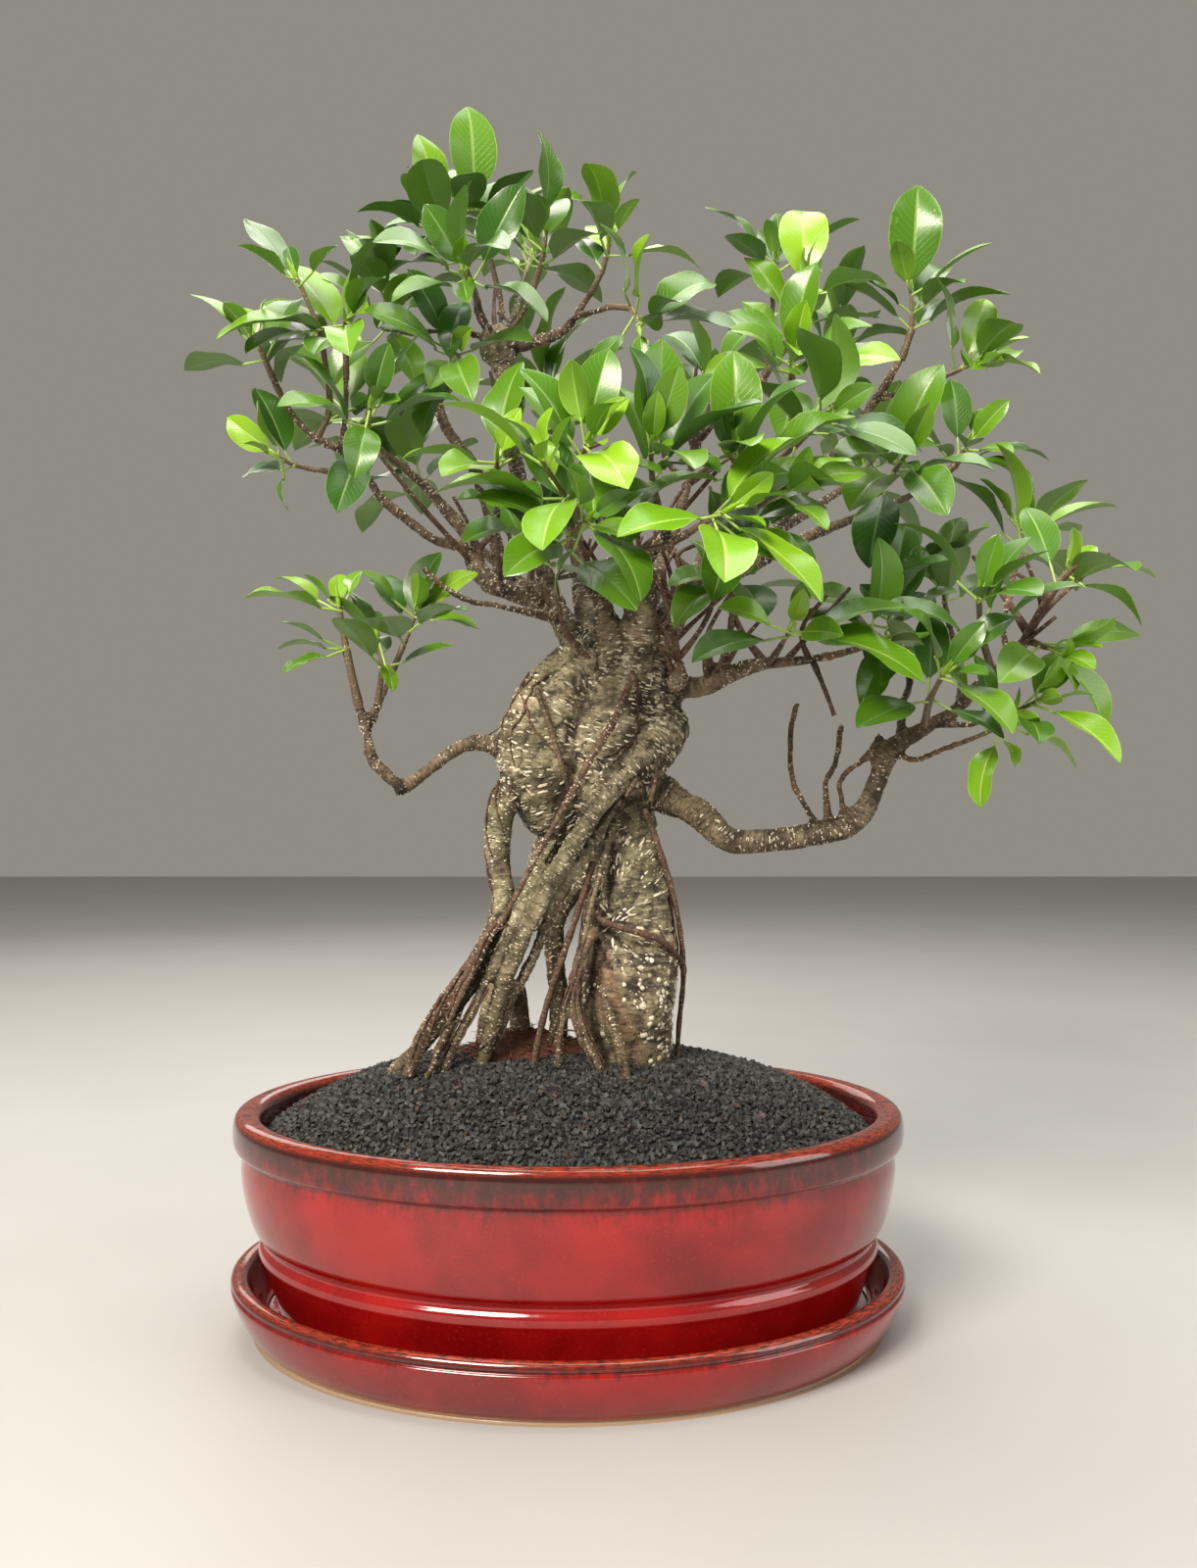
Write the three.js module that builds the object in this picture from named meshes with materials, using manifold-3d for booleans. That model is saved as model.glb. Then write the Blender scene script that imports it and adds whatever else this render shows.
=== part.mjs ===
// Chinese banyan bonsai in its oval glazed pot and saucer.
// Millimetres, +Z up. The origin is the centre of the saucer's flat underside.
// +X is to the viewer's right and +Y is away from the viewer.
import * as THREE from 'three'
import { mergeVertices } from 'three/addons/utils/BufferGeometryUtils.js'
import Module from 'manifold-3d'

const wasm = await Module()
wasm.setup()

// Driving dimensions
const GAP = 0.3
const POT_LENGTH = 302
const POT_WIDTH = 221
const POT_RIM_Z = 97
const POT_FOOT_Z = 8.3
const POT_FLOOR_Z = 19
const SAUCER_LENGTH = 304
const SAUCER_WIDTH = 226
const SAUCER_RIM_Z = 26.5
const SAUCER_FLOOR_Z = 8
const SOIL_EDGE_Z = 86
const SOIL_RISE = 33
const SOIL_ROUNDNESS = 3.2
const SOIL_GRAIN = 0.7
const DRAIN_HOLE_RADIUS = 6
const DRAIN_HOLE_X = 58
const SCREEN_SIDE = 30
const SCREEN_THICKNESS = 0.8
const ROUND_STEPS = 24
const PEAT_CENTRE = [-22, 8]
const PEAT_SIZE = [66, 50]
const PEAT_RISE = 11
const TWIG_TIP_RADIUS = 0.9
const TWIG_SIDES = 3
const FIRST_LEAF = 0.3
const LEAFY_LENGTH = 30
const JOINT_LENGTH = 3
const JOINT_PART = 0.6
const LONGEST_STEP = 18
const BUD_LENGTH = 6
const PETIOLE_LENGTH = 9
const PETIOLE_HALF = 0.6
const BLADE_THICKNESS = 1.2
const BLADE_RATIO = 0.255
const LONGEST_BLADE = 50
const LEAF_CLEARANCE = 1.5
const GOLDEN_ANGLE = 2.399963

// Routes of the roots that make the trunk and of the roots below it, as [x, y, z, radius]
const ROOTS = {
  trunk_left: [[9, 5, 302, 13.5], [-3, 2, 285, 17.5], [-11, 0, 267, 20.5], [-13, 0, 249, 20.5],
    [-9, 4, 233, 15], [-3, 10, 217, 10]],
  trunk_middle: [[27, 8, 309, 14.5], [27, 6, 292, 20], [22, 6, 271, 25.5], [16, 8, 251, 25],
    [14, 12, 231, 20], [16, 14, 212, 14.5], [19, 14, 194, 11]],
  crown_bulge: [[39, 4, 281, 10], [42, -4, 268, 12.5], [37, -8, 256, 11], [26, -8, 246, 9]],
  great_root: [[44, -4, 271, 10.5], [40, -10, 262, 10.5], [31, -16, 252, 8.5], [20, -20, 243, 6.5],
    [11, -24, 229, 5], [2, -28, 215, 4.5], [-7, -30, 200, 4.5], [-14, -32, 186, 4], [-22, -31, 170, 4],
    [-28, -28, 155, 4], [-32, -25, 141, 4], [-36, -22, 127, 3.5], [-40, -18, 108, 3.5]],
  grey_root: [[25, -6, 240, 4], [17, -14, 227, 3.5], [9, -20, 213, 3.5], [-1, -24, 197, 3],
    [-9, -26, 181, 3], [-16, -25, 164, 3], [-24, -22, 149, 3], [-31, -18, 133, 3.5],
    [-40, -10, 118, 3.5], [-49, -2, 103, 3.5]],
  front_thread: [[29, -22, 291, 2], [21, -30, 271, 2], [12, -35, 256, 2], [4, -37, 241, 2],
    [-5, -39, 225, 2], [-13, -41, 211, 2], [-19, -43, 199, 2], [-26, -42, 186, 2], [-34, -38, 174, 2],
    [-42, -36, 158, 2], [-50, -34, 141, 2], [-56, -32, 126, 2], [-62, -30, 111, 2]],
  slender_root: [[20, -4, 229, 2], [15, -18, 206, 2], [10, -28, 188, 1.5], [6, -32, 170, 1.5],
    [2, -33, 156, 1.5], [-2, -32, 140, 1.5], [-6, -28, 108, 2]],
  left_leg: [[-21, -4, 246, 10], [-30, -8, 232, 6.5], [-32, -10, 217, 6], [-31, -10, 203, 5.5],
    [-29, -12, 191, 5], [-31, -15, 177, 4.5], [-38, -18, 160, 4], [-50, -18, 144, 4],
    [-64, -15, 127, 3.5], [-77, -12, 114, 3.5], [-85, -10, 102, 3]],
  left_leg_twin: [[-30, -6, 195, 4], [-36, 2, 175, 3.5], [-47, 6, 152, 3], [-54, 8, 133, 3],
    [-65, 12, 110, 3], [-69, 12, 96, 3]],
  dark_root: [[-32, -20, 182, 3], [-41, -28, 165, 3], [-54, -32, 147, 3], [-63, -32, 131, 3.5],
    [-70, -30, 114, 3]],
  middle_root: [[12, 13, 208, 6.5], [-5, 4, 183, 5], [-7, 2, 168, 4.5], [-6, 2, 154, 4.5],
    [-4, 2, 142, 4.5], [-6, 2, 122, 4.5], [-8, 2, 100, 4.5]],
  pale_stump: [[-27, -18, 154, 3.5], [-24, 2, 144, 4.5], [-23, 10, 124, 5], [-23, 8, 104, 5.5]],
  right_leg: [[22, 4, 237, 12], [28, 2, 220, 11.5], [30, -2, 198, 15], [30, -5, 180, 18.5],
    [29, -7, 165, 20.5], [27, -8, 148, 21.5], [27, -8, 131, 20], [29, -8, 117, 17.5],
    [30, -8, 107, 14.5], [31, -8, 94, 13]],
  wrap_root: [[11, -20, 184, 1.5], [18, -30, 181, 1.5], [29, -33, 178, 1.5], [41, -26, 173, 1.5],
    [50, -9, 163, 1.5], [53, 4, 156, 1.5]],
  strand_high: [[-6, -20, 217, 2.5], [-13, -26, 204, 2.5], [-21, -30, 188, 2.5], [-28, -32, 173, 2.5],
    [-35, -31, 157, 2.5], [-43, -29, 141, 2.5], [-51, -27, 126, 2.5], [-58, -24, 107, 2.5]],
  strand_thin: [[11, -16, 207, 1.5], [5, -24, 188, 1.5], [-1, -27, 170, 1.5], [-7, -27, 152, 1.5],
    [-12, -24, 134, 1.5], [-17, -18, 106, 1.5]],
  foot_root: [[14, -34, 155, 2], [19, -40, 141, 2], [24, -42, 126, 2], [27, -40, 109, 2]],
  fold_root: [[11, -16, 178, 3], [5, -28, 163, 2.5], [3, -32, 148, 2.5], [7, -34, 133, 2.5],
    [13, -34, 121, 2], [17, -32, 108, 2]],
  back_left_root: [[1, 26, 243, 12], [-11, 46, 209, 8.5], [-23, 58, 179, 7.5], [-34, 68, 151, 6.5],
    [-43, 74, 125, 5.5], [-49, 78, 91, 4.5]],
  back_right_root: [[27, 26, 243, 11], [35, 46, 205, 9], [37, 58, 169, 7.5], [39, 66, 139, 6],
    [43, 72, 112, 5], [45, 76, 86, 4]],
  back_middle_root: [[13, 28, 229, 10.5], [14, 46, 185, 8], [10, 56, 152, 6.5], [8, 62, 124, 5.5],
    [6, 68, 88, 5]],
}

// Routes of the limbs, from where they leave the wood to where their sprays begin, as [x, y, z, radius]
const LIMBS = {
  left_low: [[-20, -2, 259, 9], [-30, -5, 259, 5.5], [-42, -8, 261, 3.5], [-53, -12, 256, 3],
    [-64, -16, 247, 3], [-72, -19, 241, 3.5], [-77, -20, 238, 3]],
  left_low_a: [[-74, -20, 240, 3], [-81, -23, 247, 3], [-86, -25, 253, 3], [-88, -27, 264, 2.5],
    [-91, -30, 277, 2]],
  left_low_b: [[-88, -26, 261, 2], [-86, -25, 271, 2], [-83, -26, 279, 1.5]],
  left_low_c: [[-86, -25, 268, 2], [-83, -17, 280, 1.5], [-78, -14, 294, 1.5]],
  right_low: [[22, 10, 244, 13.5], [38, 4, 240, 10], [49, -2, 234, 7.5], [60, -8, 228, 7],
    [72, -13, 217, 6], [89, -17, 217, 5.5], [105, -19, 219, 5], [121, -21, 222, 5], [130, -23, 230, 5],
    [135, -25, 242, 4.5], [138, -27, 251, 4.5], [143, -29, 259, 4.5], [155, -31, 266, 3.5],
    [167, -33, 273, 3], [175, -35, 282, 3], [183, -37, 288, 2.5], [190, -39, 295, 2.5],
    [195, -41, 303, 2.5], [199, -43, 311, 2], [203, -45, 319, 2]],
  right_low_up: [[145, -28, 260, 3], [148, -20, 277, 2], [152, -16, 288, 2], [148, -12, 303, 2]],
  right_low_shoot: [[158, -31, 267, 2], [172, -40, 267, 1.5], [183, -48, 270, 1]],
  right_low_hang: [[141, -28, 255, 2], [150, -34, 252, 1.5], [160, -40, 256, 1], [170, -46, 260, 1]],
  right_low_tall: [[189, -38, 293, 2], [189, -30, 310, 1.5], [195, -22, 326, 1.5], [200, -16, 342, 1.5]],
  right_low_inner: [[169, -33, 275, 2], [174, -20, 290, 2], [175, -8, 304, 2], [174, 0, 317, 1.5]],
  cut_a: [[114, -19, 220, 2], [109, -19, 226, 1.5], [102, -20, 237, 1.5], [99, -20, 245, 1.5],
    [98, -22, 264, 1.5], [101, -22, 278, 1]],
  cut_b: [[116, -19, 220, 2.5], [115, -17, 231, 2], [115, -16, 244, 1.5], [119, -16, 251, 1.5],
    [122, -14, 269, 1.5]],
  cut_c: [[121, -20, 222, 2], [121, -21, 233, 1.5], [120, -23, 244, 1.5], [131, -25, 254, 1.5],
    [137, -26, 264, 1.5]],
  right_mid: [[33, 2, 284, 10], [52, -4, 286, 5], [63, -10, 287, 4.5], [77, -16, 293, 3.5],
    [87, -22, 295, 3], [97, -28, 295, 2.5], [110, -34, 296, 2], [123, -38, 299, 1.5]],
  right_mid_cut: [[63, -10, 288, 2], [64, -8, 301, 1.5], [64, -6, 313, 1.5]],
  right_mid_up: [[67, -12, 289, 2], [72, -14, 308, 2], [73, -16, 321, 1.5]],
  right_mid_front: [[88, -22, 295, 1.5], [89, -40, 297, 1.5], [90, -54, 300, 1]],
  right_mid_hang: [[106, -32, 295, 1.5], [111, -34, 282, 1], [115, -34, 271, 1]],
  knot: [[49, -6, 287, 6], [50, -10, 293, 3], [49, -12, 298, 2.5]],
  left_limb: [[25, 6, 288, 12.5], [14, 6, 299, 8.5], [7, 6, 305, 7.5], [0, 6, 312, 6.5],
    [-6, 8, 322, 5.5], [-19, 10, 330, 5], [-30, 12, 334, 5], [-39, 12, 338, 5], [-45, 12, 347, 4.5],
    [-47, 12, 356, 3.5]],
  left_thin_cut: [[-7, 2, 319, 2.5], [-22, -6, 321, 2], [-35, -10, 323, 1.5], [-44, -13, 324, 1.5],
    [-56, -18, 330, 1.5], [-65, -22, 338, 1]],
  left_a: [[-47, 12, 355, 3.5], [-52, 16, 365, 3], [-59, 20, 374, 2.5], [-71, 26, 387, 2.5],
    [-87, 32, 401, 2], [-98, 36, 410, 2]],
  left_b: [[-45, 10, 354, 3.5], [-61, 6, 355, 2.5], [-72, 2, 362, 2.5], [-86, -2, 373, 2.5],
    [-91, -5, 381, 2], [-97, -7, 387, 2], [-104, -9, 393, 2], [-113, -13, 397, 2],
    [-121, -17, 404, 1.5], [-127, -21, 414, 1.5], [-130, -23, 421, 1.5]],
  left_b_up: [[-103, -9, 392, 2], [-102, -6, 404, 1.5], [-102, -3, 419, 1.5], [-102, -2, 430, 1.5]],
  left_b_low: [[-94, -6, 385, 1.5], [-106, -10, 383, 1.5], [-116, -14, 383, 1]],
  left_c: [[-30, 14, 333, 4], [-35, 20, 355, 3.5], [-39, 24, 374, 3.5], [-46, 26, 394, 3.5],
    [-53, 28, 405, 3], [-60, 30, 415, 3], [-66, 30, 430, 3], [-72, 32, 441, 2.5], [-81, 34, 456, 2.5],
    [-86, 34, 465, 2]],
  left_c_side: [[-65, 30, 427, 2], [-55, 16, 431, 1.5], [-51, 2, 434, 1.5]],
  apex_stem: [[-7, 10, 323, 5.5], [-14, 22, 350, 4], [-22, 30, 376, 4], [-27, 36, 401, 4],
    [-31, 38, 421, 4], [-32, 38, 436, 4], [-33, 38, 448, 6], [-35, 38, 456, 10.5], [-36, 38, 463, 9],
    [-37, 38, 468, 4.5]],
  apex_l: [[-40, 36, 462, 2], [-45, 32, 470, 1.5], [-46, 28, 479, 1.5]],
  apex_c: [[-36, 38, 464, 2], [-34, 42, 476, 1.5], [-36, 44, 487, 1.5]],
  apex_r: [[-31, 34, 462, 2], [-23, 26, 469, 1.5], [-17, 20, 480, 1.5]],
  apex_front: [[-36, 34, 460, 2], [-40, 10, 460, 1.5], [-42, -4, 463, 1.5]],
  apex_back: [[-35, 42, 463, 2], [-30, 64, 483, 2], [-28, 78, 500, 1.5]],
  apex_flat: [[-38, 39, 463, 2], [-65, 46, 468, 1.5], [-80, 50, 469, 1.5]],
  apex_arm: [[-26, 36, 457, 4], [-5, 32, 462, 2.5], [4, 28, 471, 2], [11, 24, 480, 1.5]],
  apex_arm_low: [[2, 28, 468, 2], [12, 14, 465, 1.5], [19, 4, 463, 1.5]],
  upright: [[29, 2, 288, 11.5], [31, -4, 305, 9], [33, -12, 321, 7.5], [33, -18, 335, 5.5],
    [31, -22, 346, 4]],
  upright_l: [[31, -20, 341, 3.5], [22, -34, 350, 2], [14, -48, 355, 1.5], [10, -60, 359, 1.5],
    [8, -66, 363, 1.5]],
  upright_r: [[32, -18, 337, 3.5], [38, -28, 344, 3], [42, -38, 348, 2.5], [40, -48, 353, 2],
    [38, -54, 357, 1.5]],
  upright_far: [[39, -28, 344, 2.5], [52, -38, 349, 2], [63, -48, 355, 1.5], [69, -56, 359, 1.5]],
  right_limb: [[34, 6, 288, 10.5], [41, 8, 308, 7.5], [48, 10, 325, 6], [57, 12, 335, 5.5],
    [68, 14, 340, 5], [81, 16, 344, 4], [94, 18, 350, 3.5]],
  right_a: [[66, 12, 338, 3.5], [74, 8, 356, 2.5], [83, 4, 369, 2.5], [91, 0, 390, 2],
    [98, -4, 407, 2], [100, -6, 418, 2]],
  right_b: [[92, 18, 349, 3], [116, 22, 362, 3], [140, 26, 372, 2.5], [165, 30, 383, 2],
    [182, 32, 394, 2]],
  right_c: [[83, 18, 344, 3], [101, 40, 369, 3], [122, 54, 397, 2.5], [143, 62, 424, 2.5],
    [158, 64, 445, 2.5], [168, 60, 462, 2]],
  right_c_side: [[155, 64, 440, 2], [172, 58, 444, 1.5], [186, 52, 448, 1.5]],
  right_d: [[57, 12, 335, 4], [66, 30, 359, 3.5], [77, 42, 388, 3], [87, 48, 419, 2.5],
    [96, 48, 447, 2], [99, 46, 470, 2], [100, 44, 486, 1.5]],
  back_a: [[11, 16, 304, 9], [7, 38, 339, 6.5], [0, 62, 374, 4], [-7, 80, 406, 3], [-12, 88, 427, 2]],
  crotch_rise: [[20, -4, 290, 8.5], [18, -8, 304, 6.5], [16, -12, 318, 5], [14, -14, 330, 3.5],
    [10, -14, 341, 2.5]],
  crotch_right: [[38, 4, 292, 7.5], [45, -2, 310, 5.5], [52, -6, 321, 3.5], [59, -6, 329, 2.5]],
  back_b: [[32, 14, 305, 7], [41, 40, 344, 5], [54, 70, 381, 3.5], [63, 90, 414, 2.5], [69, 98, 437, 2]],
  back_c: [[-12, 12, 326, 4], [-30, 36, 346, 3], [-55, 62, 371, 2.5], [-74, 80, 395, 2]],
  back_d: [[55, 14, 332, 4], [82, 46, 357, 3], [116, 76, 382, 3], [143, 94, 402, 2]],
  front_shoot: [[-13, 4, 328, 2], [-21, -12, 332, 2], [-10, -36, 329, 1.5], [9, -56, 329, 1.5],
    [25, -72, 333, 1.5], [40, -86, 333, 1], [50, -96, 337, 1]],
  left_front: [[-32, 8, 332, 2], [-32, -10, 344, 1.5], [-31, -28, 357, 1.5], [-30, -40, 367, 1.5]],
}

// Sprays: the limb that each grows on, where its twig ends, how many leaves it has and how long they are,
// and the places that its longest-reaching leaves touch with their tips
const SPRAYS = [
  { name: 'apex_top', limb: 'apex_c', tip: [-47, 30, 520], leaves: 9, length: 38,
    reach: [[-49, 26, 569]] },
  { name: 'apex_left', limb: 'apex_l', tip: [-66, 16, 507], leaves: 7, length: 38,
    reach: [[-71, 10, 546], [-75, -8, 519]] },
  { name: 'apex_right', limb: 'apex_r', tip: [-11, 10, 501], leaves: 9, length: 38,
    reach: [[-14, 6, 546], [-30, 24, 551], [-2, 14, 539]] },
  { name: 'apex_far', limb: 'apex_arm', tip: [19, 16, 501], leaves: 7, length: 36,
    reach: [[32, -4, 509], [31, 22, 535]] },
  { name: 'apex_front', limb: 'apex_front', tip: [-45, -38, 460], leaves: 9, length: 34,
    reach: [] },
  { name: 'apex_back', limb: 'apex_back', tip: [-23, 108, 536], leaves: 9, length: 38,
    reach: [] },
  { name: 'arm_low', limb: 'apex_arm_low', tip: [31, -34, 438], leaves: 7, length: 38,
    reach: [[47, -60, 439], [65, -16, 466]] },
  { name: 'left_high', limb: 'left_c', tip: [-88, 26, 491], leaves: 9, length: 36,
    reach: [[-115, 32, 541], [-100, 10, 523], [-104, -4, 497]] },
  { name: 'left_flat', limb: 'apex_flat', tip: [-90, 26, 468], leaves: 6, length: 34,
    reach: [] },
  { name: 'left_rise', limb: 'left_b_up', tip: [-99, -20, 447], leaves: 7, length: 38,
    reach: [[-77, -44, 456], [-147, -44, 429]] },
  { name: 'left_end', limb: 'left_b', tip: [-136, -26, 435], leaves: 5, length: 38,
    reach: [[-163, -34, 452], [-131, -34, 452]] },
  { name: 'left_out', limb: 'left_b', joint: 7, tip: [-118, -28, 462], leaves: 6, length: 36,
    reach: [[-143, -20, 492], [-151, -22, 462], [-97, -44, 469]] },
  { name: 'left_under', limb: 'left_b_low', tip: [-128, -22, 386], leaves: 5, length: 32,
    reach: [[-139, -26, 391], [-127, -34, 363], [-127, -8, 366]] },
  { name: 'left_near', limb: 'left_b', joint: 5, tip: [-82, -50, 399], leaves: 8, length: 36,
    reach: [[-72, -66, 402], [-56, -56, 396], [-86, -64, 365]] },
  { name: 'left_behind', limb: 'left_a', tip: [-116, 62, 434], leaves: 8, length: 36,
    reach: [] },
  { name: 'left_inner', limb: 'left_c_side', tip: [-51, -20, 433], leaves: 8, length: 34,
    reach: [[-59, -44, 428]] },
  { name: 'front_middle', limb: 'upright_l', tip: [9, -86, 373], leaves: 8, length: 38,
    reach: [[3, -100, 400], [22, -112, 381]] },
  { name: 'front_left', limb: 'upright_l', joint: 2, tip: [-8, -104, 361], leaves: 7, length: 40,
    reach: [[-44, -116, 379], [-40, -96, 394], [5, -118, 374]] },
  { name: 'front_high', limb: 'upright_r', tip: [34, -84, 371], leaves: 9, length: 40,
    reach: [[26, -94, 408], [44, -88, 402]] },
  { name: 'front_right', limb: 'upright_far', tip: [64, -84, 369], leaves: 9, length: 38,
    reach: [[67, -92, 389], [43, -112, 371]] },
  { name: 'front_low_left', limb: 'left_front', tip: [-29, -52, 376], leaves: 8, length: 38,
    reach: [[-66, -66, 374], [-58, -72, 359], [-58, -52, 358]] },
  { name: 'front_low', limb: 'front_shoot', joint: 3, tip: [9, -104, 339], leaves: 8, length: 36,
    reach: [[-3, -92, 311]] },
  { name: 'front_tip', limb: 'front_shoot', tip: [60, -106, 341], leaves: 7, length: 40,
    reach: [[95, -116, 306], [82, -116, 345], [20, -124, 328]] },
  { name: 'low_left_mid', limb: 'left_limb', joint: 5, tip: [-11, -38, 354], leaves: 8, length: 34,
    reach: [] },
  { name: 'front_far', limb: 'upright_far', joint: 2, tip: [86, -88, 355], leaves: 8, length: 38,
    reach: [[99, -104, 335], [110, -96, 363]] },
  { name: 'right_top', limb: 'right_d', tip: [101, 42, 501], leaves: 7, length: 36,
    reach: [[66, 34, 525], [66, 28, 497], [102, 46, 527]] },
  { name: 'right_bright', limb: 'right_d', joint: 4, tip: [112, 18, 476], leaves: 7, length: 34,
    reach: [[116, 2, 497], [113, 34, 523]] },
  { name: 'right_peak', limb: 'right_c', tip: [170, 54, 492], leaves: 9, length: 38,
    reach: [[173, 50, 543], [205, 34, 506], [159, 64, 520], [187, 20, 482]] },
  { name: 'right_crown', limb: 'right_c', joint: 3, tip: [138, 74, 483], leaves: 8, length: 36,
    reach: [] },
  { name: 'right_mid_high', limb: 'right_a', tip: [98, -24, 427], leaves: 8, length: 36,
    reach: [[141, -44, 422], [70, -34, 438], [96, -56, 418]] },
  { name: 'right_mid_front', limb: 'right_a', joint: 3, tip: [106, -58, 392], leaves: 8, length: 38,
    reach: [[111, -84, 384]] },
  { name: 'right_side', limb: 'right_b', tip: [188, 20, 404], leaves: 7, length: 36,
    reach: [[204, 0, 394], [221, 14, 380], [205, 34, 427]] },
  { name: 'right_upper_side', limb: 'right_c_side', tip: [199, 45, 452], leaves: 7, length: 36,
    reach: [[224, 36, 461], [225, 24, 440]] },
  { name: 'right_front', limb: 'right_b', joint: 2, tip: [144, -38, 381], leaves: 8, length: 38,
    reach: [[150, -60, 392]] },
  { name: 'right_tall', limb: 'right_low_tall', tip: [204, -12, 356], leaves: 8, length: 38,
    reach: [[242, -22, 365], [184, -12, 379]] },
  { name: 'right_end', limb: 'right_low', tip: [210, -50, 331], leaves: 5, length: 36,
    reach: [[236, -60, 306], [218, -56, 326]] },
  { name: 'right_end_low', limb: 'right_low', joint: 17, tip: [203, -52, 297], leaves: 5, length: 34,
    reach: [[216, -64, 297], [212, -66, 288]] },
  { name: 'right_under', limb: 'right_low_shoot', tip: [194, -57, 275], leaves: 5, length: 32,
    reach: [[214, -60, 279], [191, -60, 268]] },
  { name: 'right_hanging', limb: 'right_low_hang', tip: [182, -53, 266], leaves: 4, length: 28,
    reach: [[182, -56, 251], [173, -50, 231]] },
  { name: 'right_inner_up', limb: 'right_low_up', tip: [142, -16, 317], leaves: 7, length: 34,
    reach: [] },
  { name: 'right_inner_front', limb: 'right_low', joint: 12, tip: [152, -70, 285], leaves: 6, length: 32,
    reach: [] },
  { name: 'right_inner', limb: 'right_low_inner', tip: [172, 2, 332], leaves: 7, length: 36,
    reach: [] },
  { name: 'right_low_front', limb: 'right_low', joint: 15, tip: [165, -74, 315], leaves: 6, length: 34,
    reach: [] },
  { name: 'mid_end', limb: 'right_mid', tip: [135, -46, 303], leaves: 6, length: 34,
    reach: [[120, -66, 272]] },
  { name: 'mid_front', limb: 'right_mid_front', tip: [91, -69, 303], leaves: 6, length: 38,
    reach: [[61, -72, 311], [141, -84, 281], [117, -62, 284], [97, -70, 323]] },
  { name: 'mid_up', limb: 'right_mid_up', tip: [73, -28, 333], leaves: 7, length: 34,
    reach: [[45, -46, 307]] },
  { name: 'low_a', limb: 'left_low_a', tip: [-98, -36, 318], leaves: 6, length: 36,
    reach: [
      [-90, -30, 334], [-128, -28, 332], [-134, -44, 322], [-119, -50, 309],
      [-125, -34, 300], [-119, -46, 288]
    ] },
  { name: 'low_b', limb: 'left_low_b', tip: [-83, -27, 305], leaves: 6, length: 30,
    reach: [[-75, -36, 281], [-100, -16, 329], [-106, -10, 342]] },
  { name: 'low_c', limb: 'left_low_c', tip: [-68, -14, 319], leaves: 7, length: 34,
    reach: [[-40, -18, 311], [-92, -30, 333], [-42, -6, 338], [-59, -14, 345]] },
  { name: 'back_left', limb: 'back_a', tip: [-19, 102, 456], leaves: 9, length: 44,
    reach: [] },
  { name: 'back_right', limb: 'back_b', tip: [76, 114, 468], leaves: 9, length: 44,
    reach: [] },
  { name: 'back_far_left', limb: 'back_c', tip: [-91, 96, 418], leaves: 9, length: 44,
    reach: [] },
  { name: 'back_far_right', limb: 'back_d', tip: [165, 108, 424], leaves: 9, length: 44,
    reach: [] },
]

const material = (color, roughness, metalness = 0) =>
  new THREE.MeshStandardMaterial({ color, roughness, metalness, flatShading: true })
const MATERIALS = {
  glaze: material(0xa3161c, 0.15),
  gravel: material(0x26262a, 0.8),
  peat: material(0x5a2f1c, 0.9),
  screen: material(0x2b2f2c, 0.5),
  bark: material(0x6d6150, 0.8),
  leaf: material(0x4f8f2a, 0.35),
}

const part = new THREE.Group()

// Adds one named piece
function addPiece(name, solid, look) {
  const mesh = solid.getMesh()
  const geometry = new THREE.BufferGeometry()
  geometry.setAttribute('position', new THREE.BufferAttribute(mesh.vertProperties, 3))
  geometry.setIndex(new THREE.BufferAttribute(mesh.triVerts, 1))
  const piece = new THREE.Mesh(geometry, look)
  piece.name = name
  part.add(piece)
}

// A closed three.js geometry as a solid that can be joined and cut
function solidOf(geometry) {
  const bare = geometry.clone()
  bare.deleteAttribute('normal')
  bare.deleteAttribute('uv')
  const merged = mergeVertices(bare, 1e-4)
  return new wasm.Manifold(new wasm.Mesh({
    numProp: 3,
    vertProperties: merged.attributes.position.array,
    triVerts: Uint32Array.from(merged.index.array),
  }))
}

// A closed solid from points and faces of three or four corners
function facetedSolid(points, faces) {
  const geometry = new THREE.BufferGeometry()
  const places = points.flatMap((p) => [p.x, p.y, p.z])
  geometry.setAttribute('position', new THREE.Float32BufferAttribute(places, 3))
  geometry.setIndex(faces.flatMap((f) => (f.length === 3 ? f : [f[0], f[1], f[2], f[0], f[2], f[3]])))
  return solidOf(geometry)
}

const fuse = (solids) => solids.reduce((whole, next) => whole.add(next))

// The largest body of a solid that a cut may have left in scraps
function largestBody(solid) {
  const bodies = solid.decompose()
  return bodies.reduce((best, next) => (next.volume() > best.volume() ? next : best))
}

const vec = (p) => new THREE.Vector3(p[0], p[1], p[2])

// Directions along a route, one for each point
function directionsOf(points) {
  return points.map((p, k) => {
    const before = points[Math.max(k - 1, 0)]
    const after = points[Math.min(k + 1, points.length - 1)]
    return after.clone().sub(before).normalize()
  })
}

// The corners of a stem's rings, ring by ring
function ringCorners(points, radii, sides, firstWay = null) {
  const along = directionsOf(points)
  if (firstWay) along[0] = firstWay
  let side = new THREE.Vector3(0, 1, 0).cross(along[0])
  if (side.length() < 0.3) side = new THREE.Vector3(1, 0, 0).cross(along[0])
  return points.map((p, k) => {
    side = side.clone().addScaledVector(along[k], -side.dot(along[k])).normalize()
    const up = along[k].clone().cross(side)
    return Array.from({ length: sides }, (_, s) => {
      const angle = (2 * Math.PI * s) / sides
      const corner = p.clone().addScaledVector(side, radii[k] * Math.cos(angle))
      return corner.addScaledVector(up, radii[k] * Math.sin(angle))
    })
  })
}

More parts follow.
